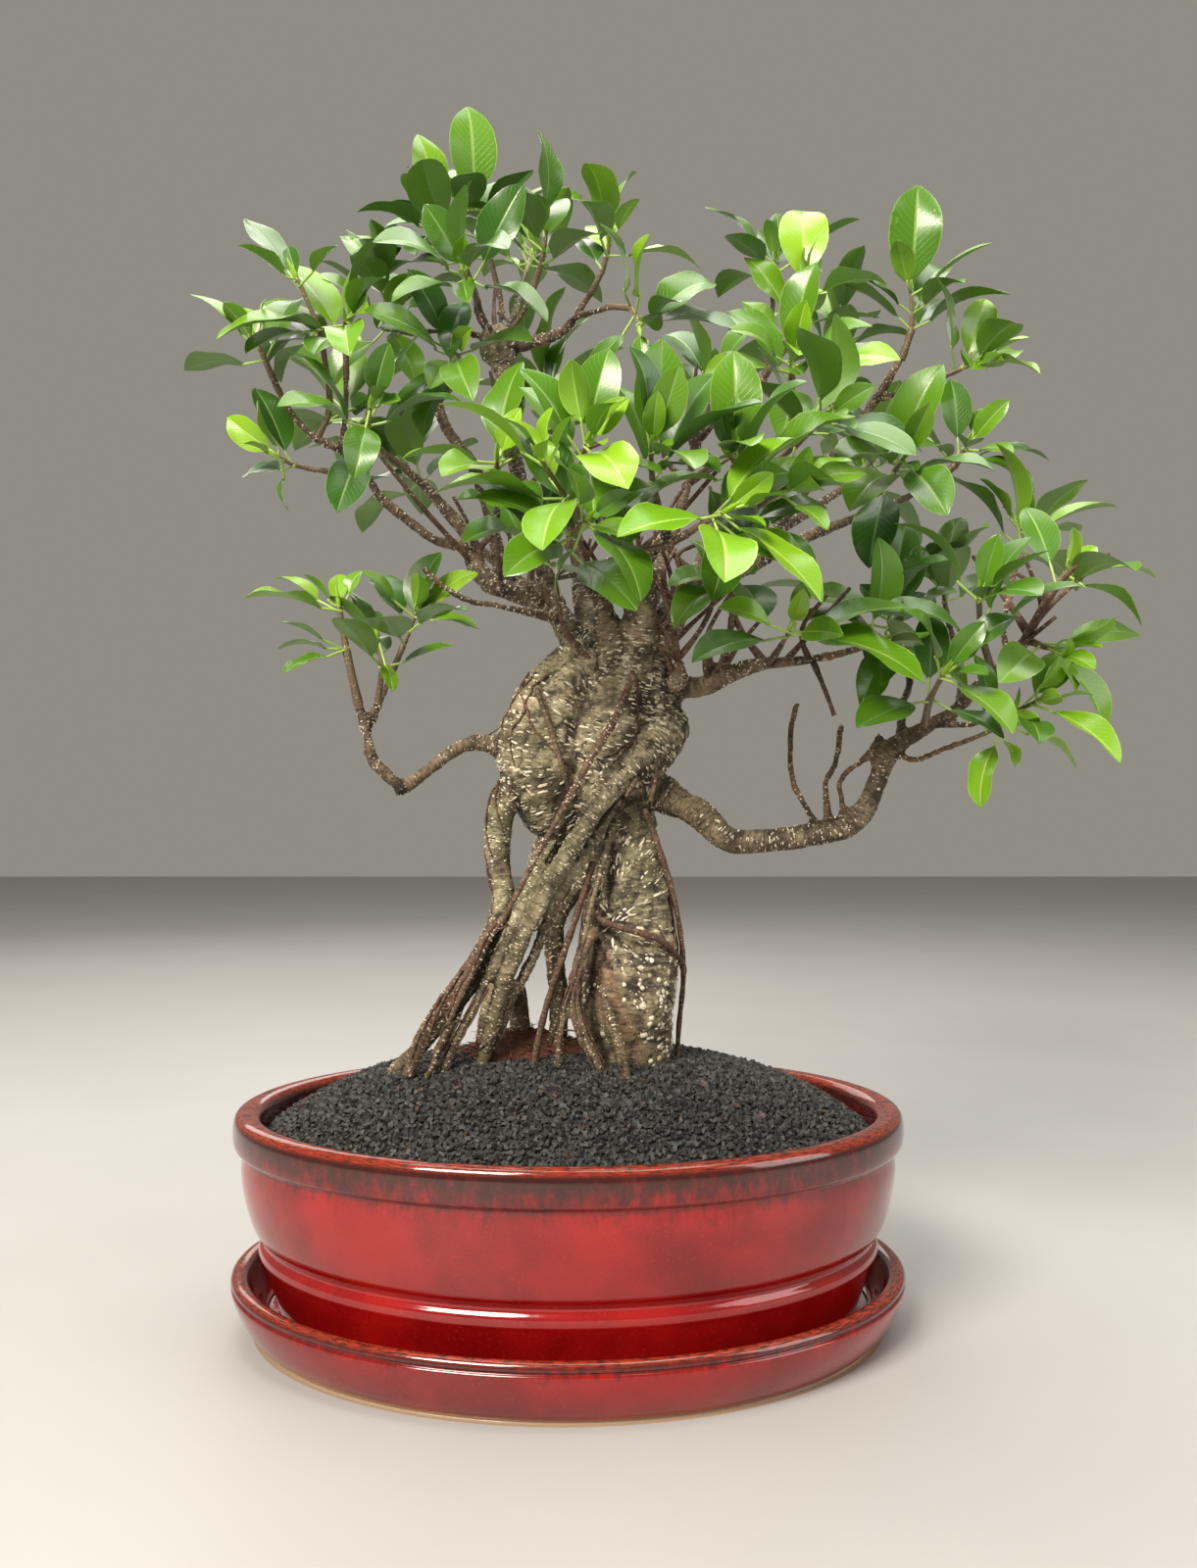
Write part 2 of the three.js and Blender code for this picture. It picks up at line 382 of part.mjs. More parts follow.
// A round, tapering stem along a route, with flat ends
function stem(points, radii, sides) {
  const corners = ringCorners(points, radii, sides).flat()
  const faces = []
  for (let k = 0; k + 1 < points.length; k++) {
    for (let s = 0; s < sides; s++) {
      const next = (s + 1) % sides
      faces.push([k * sides + s, k * sides + next, (k + 1) * sides + next, (k + 1) * sides + s])
    }
  }
  const last = (points.length - 1) * sides
  for (let s = 1; s + 1 < sides; s++) {
    faces.push([0, s + 1, s])
    faces.push([last, last + s, last + s + 1])
  }
  return facetedSolid(corners, faces)
}

function sidesFor(radius) {
  if (radius > 12) return 8
  if (radius > 5.5) return 6
  if (radius > 3.2) return 5
  return radius > 1.7 ? 4 : 3
}

// The stem of a named route, made wider by extra where it serves as a cutter
function routeStem(route, extra = 0) {
  const radii = route.map((p) => p[3] + extra)
  return stem(route.map(vec), radii, sidesFor(Math.max(...route.map((p) => p[3]))))
}

// An oval vessel: a lathe profile of [radius along X, z], narrowed across Y
function ovalVessel(profile, narrowing) {
  const outline = profile.map(([radius, z]) => new THREE.Vector2(radius, z))
  const geometry = new THREE.LatheGeometry(outline, ROUND_STEPS)
  geometry.rotateX(Math.PI / 2)
  geometry.scale(1, narrowing, 1)
  return solidOf(geometry)
}

function uprightRod(radius, x, low, high, sides) {
  const geometry = new THREE.CylinderGeometry(radius, radius, high - low, sides)
  geometry.rotateX(Math.PI / 2)
  geometry.translate(x, 0, (low + high) / 2)
  return solidOf(geometry)
}

// The saucer: a flat base, a wall that leans out and a rolled rim
const saucerHalf = SAUCER_LENGTH / 2
const saucer = ovalVessel([
  [0, 0],
  [saucerHalf - 15, 0],
  [saucerHalf - 9, 4],
  [saucerHalf - 3, 13],
  [saucerHalf, 22],
  [saucerHalf - 1.5, 25.5],
  [saucerHalf - 4.5, SAUCER_RIM_Z],
  [saucerHalf - 7.5, 25],
  [saucerHalf - 10, 20],
  [saucerHalf - 14, 11],
  [saucerHalf - 19, SAUCER_FLOOR_Z],
  [0, SAUCER_FLOOR_Z],
], SAUCER_WIDTH / SAUCER_LENGTH)
addPiece('saucer', saucer, MATERIALS.glaze)

// The pot: a foot ring, a bead and groove, a bulging wall, a stepped collar and a wide rolled rim
const potHalf = POT_LENGTH / 2
const potNarrowing = POT_WIDTH / POT_LENGTH
const potInner = [
  [potHalf - 12, POT_RIM_Z - 1],
  [potHalf - 13.5, 91],
  [potHalf - 17, 56],
  [potHalf - 29, POT_FLOOR_Z],
]
const potWhole = ovalVessel([
  [0, 12],
  [potHalf - 33, 12],
  [potHalf - 33, POT_FOOT_Z],
  [potHalf - 21, POT_FOOT_Z],
  [potHalf - 13, 33],
  [potHalf - 11.5, 38],
  [potHalf - 13.5, 42],
  [potHalf - 8.5, 49],
  [potHalf - 4, 68],
  [potHalf - 4.5, 79],
  [potHalf - 0.5, 84],
  [potHalf - 1.5, 95],
  [potHalf - 5, POT_RIM_Z],
  ...potInner,
  [0, POT_FLOOR_Z],
], potNarrowing)
const drainHoles = [-DRAIN_HOLE_X, DRAIN_HOLE_X].map((x) => uprightRod(DRAIN_HOLE_RADIUS, x, 5, 25, 12))
addPiece('pot', potWhole.subtract(fuse(drainHoles)), MATERIALS.glaze)

// An upright block, given by its sides, its middle and its lowest level
function uprightBlock(sides, x, y, low) {
  const geometry = new THREE.BoxGeometry(...sides)
  geometry.translate(x, y, low + sides[2] / 2)
  return solidOf(geometry)
}

// A plastic mesh screen over each drainage hole
function drainScreen(x) {
  const low = POT_FLOOR_Z + GAP
  const meshes = [-9, -3, 3, 9].map((u) => uprightBlock([3, SCREEN_SIDE - 8, 4], x + u, 0, low - 1))
  return uprightBlock([SCREEN_SIDE, SCREEN_SIDE, SCREEN_THICKNESS], x, 0, low).subtract(fuse(meshes))
}
addPiece('drain_screen_left', drainScreen(-DRAIN_HOLE_X), MATERIALS.screen)
addPiece('drain_screen_right', drainScreen(DRAIN_HOLE_X), MATERIALS.screen)

// Height of the gravel mound, with its grain as a small regular unevenness
const soilHalf = potHalf - 15
function soilHeight(x, y) {
  const across = Math.min(1, Math.hypot(x / soilHalf, y / (soilHalf * potNarrowing)))
  const grain = SOIL_GRAIN * (Math.sin(1.9 * x + 0.7 * y) * Math.cos(1.3 * y - 0.4 * x))
  return SOIL_EDGE_Z + SOIL_RISE * (1 - across ** SOIL_ROUNDNESS) + (across < 1 ? grain : 0)
}

// The soil: it fills the pot and rises in a mound, with plain holes for the roots
const SOIL_RINGS = [1, 0.86, 0.64, 0.34]
function soilBody() {
  const points = []
  const faces = []
  const ring = (radiusAt, heightAt) => {
    for (let k = 0; k < ROUND_STEPS; k++) {
      const angle = (2 * Math.PI * k) / ROUND_STEPS
      const x = radiusAt * Math.cos(angle)
      const y = radiusAt * potNarrowing * Math.sin(angle)
      points.push(new THREE.Vector3(x, y, heightAt(x, y)))
    }
  }
  const wall = [[potHalf - 29, POT_FLOOR_Z], [potHalf - 17, 56]]
  wall.forEach(([radius, z]) => ring(radius - 2 * GAP, () => z + GAP))
  SOIL_RINGS.forEach((share) => ring(soilHalf * share, soilHeight))
  const rings = wall.length + SOIL_RINGS.length
  const low = points.push(new THREE.Vector3(0, 0, POT_FLOOR_Z + GAP)) - 1
  const top = points.push(new THREE.Vector3(0, 0, soilHeight(0, 0))) - 1
  for (let k = 0; k < ROUND_STEPS; k++) {
    const next = (k + 1) % ROUND_STEPS
    faces.push([low, next, k])
    for (let r = 0; r + 1 < rings; r++) {
      const [here, above] = [r * ROUND_STEPS, (r + 1) * ROUND_STEPS]
      faces.push([here + k, here + next, above + next, above + k])
    }
    faces.push([(rings - 1) * ROUND_STEPS + k, (rings - 1) * ROUND_STEPS + next, top])
  }
  return facetedSolid(points, faces)
}
const buriedRoots = Object.values(ROOTS).filter((route) => route.at(-1)[2] < SOIL_EDGE_Z + SOIL_RISE)
const rootHoles = fuse(buriedRoots.map((route) => routeStem(route, GAP)))
const bedSides = [SCREEN_SIDE + 2 * GAP, SCREEN_SIDE + 2 * GAP, SCREEN_THICKNESS + 2 * GAP]
const screenBed = [-DRAIN_HOLE_X, DRAIN_HOLE_X].map((x) => uprightBlock(bedSides, x, 0, POT_FLOOR_Z))
const soilWhole = soilBody()
const soil = soilWhole.subtract(rootHoles).subtract(fuse(screenBed))
addPiece('gravel_soil', largestBody(soil), MATERIALS.gravel)

// The peat of the root ball, which shows between the roots on top of the gravel
function peatBody() {
  const steps = 12
  const rings = [1, 0.5]
  const points = []
  const faces = []
  const place = (share, k, z) => {
    const angle = (2 * Math.PI * k) / steps
    const uneven = share * (1 + 0.12 * Math.sin(3 * angle + 1))
    const x = PEAT_CENTRE[0] + (PEAT_SIZE[0] / 2) * uneven * Math.cos(angle)
    const y = PEAT_CENTRE[1] + (PEAT_SIZE[1] / 2) * uneven * Math.sin(angle)
    points.push(new THREE.Vector3(x, y, z(x, y)))
  }
  const ground = (x, y) => soilHeight(x, y) - 3
  const crown = (share) => (x, y) => soilHeight(x, y) + PEAT_RISE * (1 - share ** 1.6)
  for (let k = 0; k < steps; k++) place(1, k, ground)
  rings.forEach((share) => {
    for (let k = 0; k < steps; k++) place(share, k, (x, y) => crown(share)(x, y) + 0.8 * Math.sin(5 * k))
  })
  const low = points.push(new THREE.Vector3(...PEAT_CENTRE, ground(...PEAT_CENTRE))) - 1
  const top = points.push(new THREE.Vector3(...PEAT_CENTRE, crown(0)(...PEAT_CENTRE))) - 1
  for (let k = 0; k < steps; k++) {
    const next = (k + 1) % steps
    faces.push([low, next, k])
    for (let r = 0; r < rings.length; r++) {
      faces.push([r * steps + k, r * steps + next, (r + 1) * steps + next, (r + 1) * steps + k])
    }
    faces.push([rings.length * steps + k, rings.length * steps + next, top])
  }
  return facetedSolid(points, faces)
}
const soilLid = soilWhole.translate([0, 0, GAP])
addPiece('root_ball_peat', largestBody(peatBody().subtract(soilLid).subtract(rootHoles)), MATERIALS.peat)

// The tree's wood: trunk, roots and limbs grown together
const woodRoutes = [...Object.values(ROOTS), ...Object.values(LIMBS)]
const wood = fuse(woodRoutes.map((route) => routeStem(route)))
addPiece('trunk_roots_and_limbs', largestBody(wood), MATERIALS.bark)

// Numbers between 0 and 1 that are the same on every run
const FIRST_SEED = 1000
const SEED_STEP = 17
function seededNumbers(seed) {
  let state = seed >>> 0
  return () => {
    state = (state + 0x6d2b79f5) >>> 0
    let t = Math.imul(state ^ (state >>> 15), 1 | state)
    t = (t + Math.imul(t ^ (t >>> 7), 61 | t)) ^ t
    return ((t ^ (t >>> 14)) >>> 0) / 4294967296
  }
}

// Closest distance between two segments
function segmentGap(p, q, a, b) {
  const u = q.clone().sub(p)
  const v = b.clone().sub(a)
  const w = p.clone().sub(a)
  const uu = u.dot(u)
  const uv = u.dot(v)
  const vv = v.dot(v)
  const uw = u.dot(w)
  const vw = v.dot(w)
  const spread = uu * vv - uv * uv
  let s = spread > 1e-9 ? THREE.MathUtils.clamp((uv * vw - vv * uw) / spread, 0, 1) : 0
  let t = vv > 1e-9 ? (uv * s + vw) / vv : 0
  if (t < 0 || t > 1) {
    t = THREE.MathUtils.clamp(t, 0, 1)
    s = uu > 1e-9 ? THREE.MathUtils.clamp((uv * t - uw) / uu, 0, 1) : 0
  }
  return w.addScaledVector(u, s).addScaledVector(v, -t).length()
}

// Closest distance between a segment and a triangle
const scratchTriangle = new THREE.Triangle()
const scratchRay = new THREE.Ray()
const scratchHit = new THREE.Vector3()
function segmentTriangleGap(p, q, [a, b, c]) {
  scratchTriangle.set(a, b, c)
  const length = p.distanceTo(q)
  scratchRay.set(p, q.clone().sub(p).divideScalar(length))
  const hit = scratchRay.intersectTriangle(a, b, c, false, scratchHit)
  if (hit && hit.distanceTo(p) <= length) return 0
  return Math.min(
    scratchTriangle.closestPointToPoint(p, scratchHit).distanceTo(p),
    scratchTriangle.closestPointToPoint(q, scratchHit).distanceTo(q),
    segmentGap(p, q, a, b),
    segmentGap(p, q, b, c),
    segmentGap(p, q, c, a),
  )
}

// What is already in place: wood as thick segments and leaves as sheets of triangles
const placedWood = []
const placedSheets = []
const segmentBox = (a, b, radius) => new THREE.Box3().setFromPoints([a, b]).expandByScalar(radius)
function noteWood(points, radii, owner) {
  for (let k = 0; k + 1 < points.length; k++) {
    const radius = Math.max(radii[k], radii[k + 1])
    const [a, b] = [points[k], points[k + 1]]
    placedWood.push({ a, b, radius, owner, box: segmentBox(a, b, radius) })
  }
}
const noteRoute = (route, owner) => noteWood(route.map(vec), route.map((p) => p[3]), owner)
for (const [name, route] of Object.entries(LIMBS)) noteRoute(route, name)
for (const route of Object.values(ROOTS)) noteRoute(route, 'roots')

// The twig of a spray leaves its limb's cut end squarely and bends to where it ends.
// It has a short stretch at each joint, with a leaf on up to three of its sides.
function twigRoute(spray, bend) {
  const limb = LIMBS[spray.limb]
  const tip = vec(spray.tip)
  const atEnd = spray.joint === undefined
  const joint = atEnd ? limb.length - 1 : spray.joint
  const root = vec(limb[joint])
  const along = vec(limb[Math.min(joint + 1, limb.length - 1)]).sub(vec(limb[joint - 1])).normalize()
  let heading = root.clone().sub(vec(limb[joint - 1])).normalize()
  if (!atEnd) {
    heading = tip.clone().sub(root)
    heading.addScaledVector(along, -heading.dot(along)).normalize()
  }
  const start = root.addScaledVector(heading, atEnd ? GAP : limb[joint][3] + GAP)
  const reach = start.distanceTo(tip)
  const knee = start.clone().addScaledVector(heading, 0.4 * reach).add(bend)
  const curve = new THREE.QuadraticBezierCurve3(start, knee, tip)
  const bare = Math.max(FIRST_LEAF, 1 - LEAFY_LENGTH / reach)
  const points = [start]
  if (bare * reach > LONGEST_STEP) points.push(curve.getPoint(bare / 2))
  const joints = Math.ceil(spray.leaves / TWIG_SIDES)
  const jointShare = Math.min(JOINT_LENGTH / reach, (JOINT_PART * (1 - bare)) / joints)
  for (let k = 1; k <= joints; k++) {
    const share = bare + ((1 - bare) * k) / joints
    points.push(curve.getPoint(share - jointShare), curve.getPoint(share))
  }
  return { route: points, heading }
}

function twigRadii(spray, route) {
  const limb = LIMBS[spray.limb]
  const thick = spray.joint === undefined ? limb.at(-1)[3] : Math.min(1.8, 0.8 * limb[spray.joint][3])
  return route.map((_, k) => thick + ((TWIG_TIP_RADIUS - thick) * k) / (route.length - 1))
}

// The lie of one leaf: its stalk, its blade's tip, and the way that its upper side faces
function layLeaf(face, heading, stalkWay, bladeWay, length, drawn) {
  const foot = face.centre
  const neck = foot.clone().addScaledVector(stalkWay, PETIOLE_LENGTH * (0.8 + 0.4 * drawn.stalk))
  const tip = neck.clone().addScaledVector(bladeWay, length)
  const facing = new THREE.Vector3(0, -0.35, 0.9)
  facing.addScaledVector(heading, 0.5).addScaledVector(stalkWay, -0.3)
  facing.add(new THREE.Vector3(drawn.lean - 0.5, drawn.roll - 0.5, 0).multiplyScalar(0.9))
  facing.addScaledVector(bladeWay, -facing.dot(bladeWay)).normalize()
  const side = bladeWay.clone().cross(facing).normalize()
  return { face, foot, neck, tip, way: bladeWay, facing, side, length, drawn }
}

// A point of the blade: share runs from neck to tip, across from -1 at one edge to 1 at the other
const BLADE_STATIONS = [[0.3, 0.92], [0.7, 0.8]]
function bladePoint(leaf, share, width, across) {
  const arch = leaf.length * (0.05 + 0.09 * leaf.drawn.arch) * 4 * share * (1 - share)
  const half = leaf.length * BLADE_RATIO * width
  const fold = half * Math.abs(across) * (0.12 + 0.25 * leaf.drawn.fold)
  const point = leaf.neck.clone().addScaledVector(leaf.way, leaf.length * share)
  return point.addScaledVector(leaf.facing, arch + fold).addScaledVector(leaf.side, half * across)
}

// The leaf as a thin sheet, for testing what is near it
function leafSheet(leaf) {
  const [first, second] = BLADE_STATIONS.map(([share, width]) =>
    [-1, 0, 1].map((across) => bladePoint(leaf, share, width, across)))
  const { neck, tip } = leaf
  const triangles = [
    [neck, first[0], first[1]], [neck, first[1], first[2]],
    [first[0], second[0], second[1]], [first[0], second[1], first[1]],
    [first[2], first[1], second[1]], [first[2], second[1], second[2]],
    [second[0], tip, second[1]], [second[1], tip, second[2]],
  ]
  const stalkStart = leaf.foot.clone().lerp(neck, 0.15)
  const edges = [
    [stalkStart, neck], [neck, first[0]], [neck, first[1]], [neck, first[2]], [first[0], second[0]],
    [first[1], second[1]], [first[2], second[2]], [second[0], tip], [second[1], tip], [second[2], tip],
    [first[0], first[1]], [first[1], first[2]], [second[0], second[1]], [second[1], second[2]],
  ]
  const box = new THREE.Box3().setFromPoints([stalkStart, neck, tip, ...first, ...second])
  return { triangles, edges, box: box.expandByScalar(LEAF_CLEARANCE), owner: leaf.owner }
}

function sheetsClash(one, other, clearance) {
  if (!one.box.intersectsBox(other.box)) return false
  if (segmentGap(...one.edges[0], ...other.edges[0]) < clearance) return true
  const near = (edges, triangles) => edges.some(([p, q]) => {
    const box = segmentBox(p, q, clearance)
    return triangles.some((t) => new THREE.Box3().setFromPoints(t).intersectsBox(box)
      && segmentTriangleGap(p, q, t) < clearance)
  })
  return near(one.edges, other.triangles) || near(other.edges, one.triangles)
}

function leafIsClear(sheet) {
  for (const piece of placedWood) {
    if (!sheet.box.intersectsBox(piece.box)) continue
    const own = piece.owner === sheet.owner
    const needed = piece.radius + (own ? 0.5 : 0.9)
    if (sheet.triangles.some((t) => segmentTriangleGap(piece.a, piece.b, t) < needed)) return false
    if (!own && segmentGap(...sheet.edges[0], piece.a, piece.b) < needed + 0.5) return false
  }
  return !placedSheets.some((other) => sheetsClash(sheet, other, LEAF_CLEARANCE))
}

// Turns tried for a leaf, nearest first, until it is clear of everything in place
const TURNS = [0, 0.35, -0.35, 0.7, -0.7, 1.05, -1.05, 1.4, -1.4, 1.8, -1.8, 2.2, -2.2, 2.6, -2.6, 3.1]
const RISES = [0, 0.25, -0.25, 0.5]
const TRAITS = ['turn', 'spread', 'stalk', 'lean', 'roll', 'arch', 'fold', 'droop', 'size']

// The faces of a leaf. Corners 0 to 2 are its foot, 3 to 5 its neck, 6 to 13 its blade and 14 its tip.
const LEAF_FACES = [
  [0, 1, 4, 3], [1, 2, 5, 4], [2, 0, 3, 5],
  [3, 8, 6], [3, 4, 8], [4, 7, 8], [5, 6, 9], [5, 3, 6], [5, 9, 7], [4, 5, 7],
  [6, 12, 10], [6, 8, 12], [8, 7, 12], [7, 11, 12], [6, 10, 13], [6, 13, 9], [9, 13, 7], [7, 13, 11],
  [10, 12, 14], [12, 11, 14], [10, 14, 13], [11, 13, 14],
]

// The face of a twig, between two of its rings, that looks most the way that a stalk goes
function stalkFace(rings, slot, way, taken) {
  const sides = rings[slot].length
  let best = null
  for (let s = 0; s < sides; s++) {
    if (taken.includes(s)) continue
    const next = (s + 1) % sides
    const [a, b, c] = [rings[slot][s], rings[slot][next], rings[slot + 1][next]]
    const normal = b.clone().sub(a).cross(c.clone().sub(a)).normalize()
    const looks = normal.dot(way)
    if (!best || looks > best.looks) {
      best = { looks, slot, side: s, centre: a.clone().add(b).add(c).divideScalar(3) }
    }
  }
  return best
}

// Every lie tried for one leaf, the best first
function candidateLeaves(spray, rings, rank, taken, drawn) {
  const found = []
  const slot = rings.length - 2 - 2 * Math.floor(rank / TWIG_SIDES)
  const heading = spray.route[slot + 1].clone().sub(spray.route[slot]).normalize()
  const share = 1 - rank / Math.max(1, spray.leaves - 1)
  const stalk = PETIOLE_LENGTH * (0.8 + 0.4 * drawn.stalk)
  const middle = spray.route[slot].clone().lerp(spray.route[slot + 1], 0.5)
  if (rank < spray.reach.length) {
    const target = vec(spray.reach[rank])
    for (const shift of [0, 3, -3, 6, -6, 10, -10]) {
      const aim = target.clone().add(new THREE.Vector3(0, shift, shift / 3))
      const face = stalkFace(rings, slot, aim.clone().sub(middle).normalize(), taken)
      const way = aim.clone().sub(face.centre).normalize()
      const length = Math.min(LONGEST_BLADE, aim.distanceTo(face.centre) - stalk)
      if (length > 12) found.push(layLeaf(face, heading, way, way, length, drawn))
    }
    return found
  }
  const across = new THREE.Vector3(0, 0, 1).cross(heading)
  if (across.length() < 0.2) across.set(1, 0, 0)
  across.addScaledVector(heading, -across.dot(heading)).normalize()
  const over = heading.clone().cross(across)
  for (const shrink of [1, 0.85, 0.7]) {
    for (const rise of RISES) {
      for (const turn of TURNS) {
        const angle = GOLDEN_ANGLE * rank + 0.8 * drawn.turn + turn
        const spread = 1.25 - 0.65 * share + 0.4 * (drawn.spread - 0.5) + rise
        const out = across.clone().multiplyScalar(Math.cos(angle))
        out.addScaledVector(over, Math.sin(angle))
        const stalkWay = heading.clone().multiplyScalar(Math.cos(spread))
        stalkWay.addScaledVector(out, Math.sin(spread))
        const bladeWay = stalkWay.clone().addScaledVector(out, 0.25)
        bladeWay.z += 0.25 - 0.5 * drawn.droop
        bladeWay.normalize()
        const length = spray.length * (0.8 + 0.3 * drawn.size) * shrink
        const face = stalkFace(rings, slot, out, taken)
        found.push(layLeaf(face, heading, stalkWay, bladeWay, length, drawn))
      }
    }
  }
  return found
}

// One spray: its twig with a bud at the end, and leaves on stalks that grow from the twig's faces
function spraySolid(spray, number) {
  const random = seededNumbers(FIRST_SEED + SEED_STEP * number)
  const sides = TWIG_SIDES
  const rings = ringCorners(spray.route, spray.radii, sides, spray.heading)
  const points = rings.flat()
  const faces = []
  for (let s = 1; s + 1 < sides; s++) faces.push([0, s + 1, s])
  const last = rings.length - 1
  const bud = spray.route[last].clone().sub(spray.route[last - 1]).normalize()
  const budTip = points.push(spray.route[last].clone().addScaledVector(bud, BUD_LENGTH)) - 1
  for (let s = 0; s < sides; s++) faces.push([last * sides + s, last * sides + ((s + 1) % sides), budTip])
  const leaves = []
  for (let rank = 0; rank < spray.leaves; rank++) {
    const drawn = {}
    for (const trait of TRAITS) drawn[trait] = random()
    const joint = Math.floor(rank / sides)
    const taken = leaves.filter((leaf) => leaf.joint === joint).map((leaf) => leaf.face.side)
    for (const leaf of candidateLeaves(spray, rings, rank, taken, drawn)) {
      const sheet = leafSheet({ ...leaf, owner: spray.name })
      if (!leafIsClear(sheet)) continue
      placedSheets.push(sheet)
      leaves.push({ ...leaf, joint })
      break
    }
  }
  for (let k = 0; k < last; k++) {
    for (let s = 0; s < sides; s++) {
      const next = (s + 1) % sides
      const [a, b, c, d] = [k * sides + s, k * sides + next, (k + 1) * sides + next, (k + 1) * sides + s]
      faces.push([a, c, d])
      const leaf = leaves.find(({ face }) => face.slot === k && face.side === s)
      if (leaf) growLeaf(leaf, [a, b, c], points, faces)
      else faces.push([a, b, c])
    }
  }
  return facetedSolid(points, faces)
}

// Adds a leaf's points and faces, starting at the three corners of the twig's face that it grows from
function growLeaf(leaf, corners, points, faces) {
  const stalkWay = leaf.neck.clone().sub(leaf.foot).normalize()
  const under = leaf.side.clone().cross(stalkWay).normalize()
  if (under.dot(leaf.facing) > 0) under.negate()
  const neckRing = [
    leaf.neck.clone().addScaledVector(leaf.side, -PETIOLE_HALF),
    leaf.neck.clone().addScaledVector(leaf.side, PETIOLE_HALF),
    leaf.neck.clone().addScaledVector(under, 1.5 * PETIOLE_HALF),
  ]
  const turned = [0, 1, 2].map((by) => [0, 1, 2].map((k) => corners[(k + by) % 3]))
  const stretch = (ring) => ring.reduce((sum, c, k) => sum + points[c].distanceToSquared(neckRing[k]), 0)
  const start = turned.reduce((best, ring) => (stretch(ring) < stretch(best) ? ring : best))
  const made = [...neckRing]
  for (const [share, width] of BLADE_STATIONS) {
    made.push(bladePoint(leaf, share, width, -1))
    made.push(bladePoint(leaf, share, width, 1))
    made.push(bladePoint(leaf, share, width, 0))
    made.push(made.at(-1).clone().addScaledVector(leaf.facing, -BLADE_THICKNESS))
  }
  made.push(leaf.tip)
  const first = points.length
  points.push(...made)
  const corner = (k) => (k < 3 ? start[k] : first + k - 3)
  for (const face of LEAF_FACES) faces.push(face.map(corner))
}

// The bends tried for a twig, until it is clear of the wood and of the other twigs
function bendsToTry() {
  const bends = [new THREE.Vector3()]
  for (const size of [4, 8, 13, 18]) {
    for (let k = 0; k < 8; k++) {
      const angle = (Math.PI * k) / 4
      const way = new THREE.Vector3(Math.cos(angle), 0.4 * Math.sin(2 * angle), Math.sin(angle))
      bends.push(way.multiplyScalar(size))
    }
  }
  return bends
}

function twigIsClear(route, radii, limb) {
  for (let k = 0; k + 1 < route.length; k++) {
    for (const piece of placedWood) {
      if (piece.owner === limb && k < 1) continue
      const needed = piece.radius + radii[k] + 0.4
      if (segmentGap(route[k], route[k + 1], piece.a, piece.b) < needed) return false
    }
  }
  return true
}

for (const spray of SPRAYS) {
  const tries = bendsToTry().map((bend) => twigRoute(spray, bend))
  spray.radii = twigRadii(spray, tries[0].route)
  Object.assign(spray, tries.find(({ route }) => twigIsClear(route, spray.radii, spray.limb)) ?? tries[0])
  noteWood(spray.route, spray.radii, spray.name)
}
SPRAYS.forEach((spray, number) => {
  addPiece('spray_' + spray.name, spraySolid(spray, number), MATERIALS.leaf)
})

export default part
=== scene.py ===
import math

import bpy
import numpy as np
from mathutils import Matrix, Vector, noise
from mathutils.bvhtree import BVHTree


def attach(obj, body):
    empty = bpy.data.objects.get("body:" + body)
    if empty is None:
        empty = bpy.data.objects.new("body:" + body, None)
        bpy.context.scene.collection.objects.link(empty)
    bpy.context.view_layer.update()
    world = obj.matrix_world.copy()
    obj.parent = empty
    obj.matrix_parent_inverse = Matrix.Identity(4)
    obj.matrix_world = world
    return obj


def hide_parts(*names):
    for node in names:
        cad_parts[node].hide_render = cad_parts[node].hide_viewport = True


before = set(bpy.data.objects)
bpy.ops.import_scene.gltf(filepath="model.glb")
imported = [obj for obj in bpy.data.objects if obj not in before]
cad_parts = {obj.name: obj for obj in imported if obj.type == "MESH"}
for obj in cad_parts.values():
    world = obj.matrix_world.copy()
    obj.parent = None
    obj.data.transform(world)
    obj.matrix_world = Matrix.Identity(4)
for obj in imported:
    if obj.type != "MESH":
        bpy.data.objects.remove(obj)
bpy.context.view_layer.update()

# The saucer
# An oval stoneware dish under the pot that holds the water which drains from it.
# It is pressed, then dipped in a red glaze that runs thin and brown over the rim.
MM = 0.001
SAUCER_LENGTH = 304
SAUCER_WIDTH = 226
SAUCER_RIM_Z = 26.5
SAUCER_FLOOR_Z = 8
SAUCER_RUN_LENGTH = 7
OVAL_RATIO = 1.37
GLAZE_REDS = (0.175, 0.0018, 0.0026), (0.30, 0.005, 0.004)
GLAZE_SPECKLE = (0.46, 0.03, 0.018)
GLAZE_RUN = (0.022, 0.006, 0.004)
RIM_BROWNS = (0.30, 0.030, 0.009), (0.040, 0.009, 0.006)
BARE_CLAY = (0.36, 0.25, 0.16)
CRACKLE_LINE = (0.10, 0.004, 0.004)


class Wire:
    """A shader socket that sums can be written on. Each sum adds its Math node."""

    def __init__(self, look, socket):
        self.look = look
        self.socket = socket

    def sum(self, operation, first, second=0.0):
        return self.look.node("ShaderNodeMath", {"operation": operation}, {0: first, 1: second})

    def __add__(self, other):
        return self.sum("ADD", self, other)

    def __sub__(self, other):
        return self.sum("SUBTRACT", self, other)

    def __rsub__(self, other):
        return self.sum("SUBTRACT", other, self)

    def __mul__(self, other):
        return self.sum("MULTIPLY", self, other)

    def __truediv__(self, other):
        return self.sum("DIVIDE", self, other)

    def __pow__(self, other):
        return self.sum("POWER", self, other)

    __radd__ = __add__
    __rmul__ = __mul__


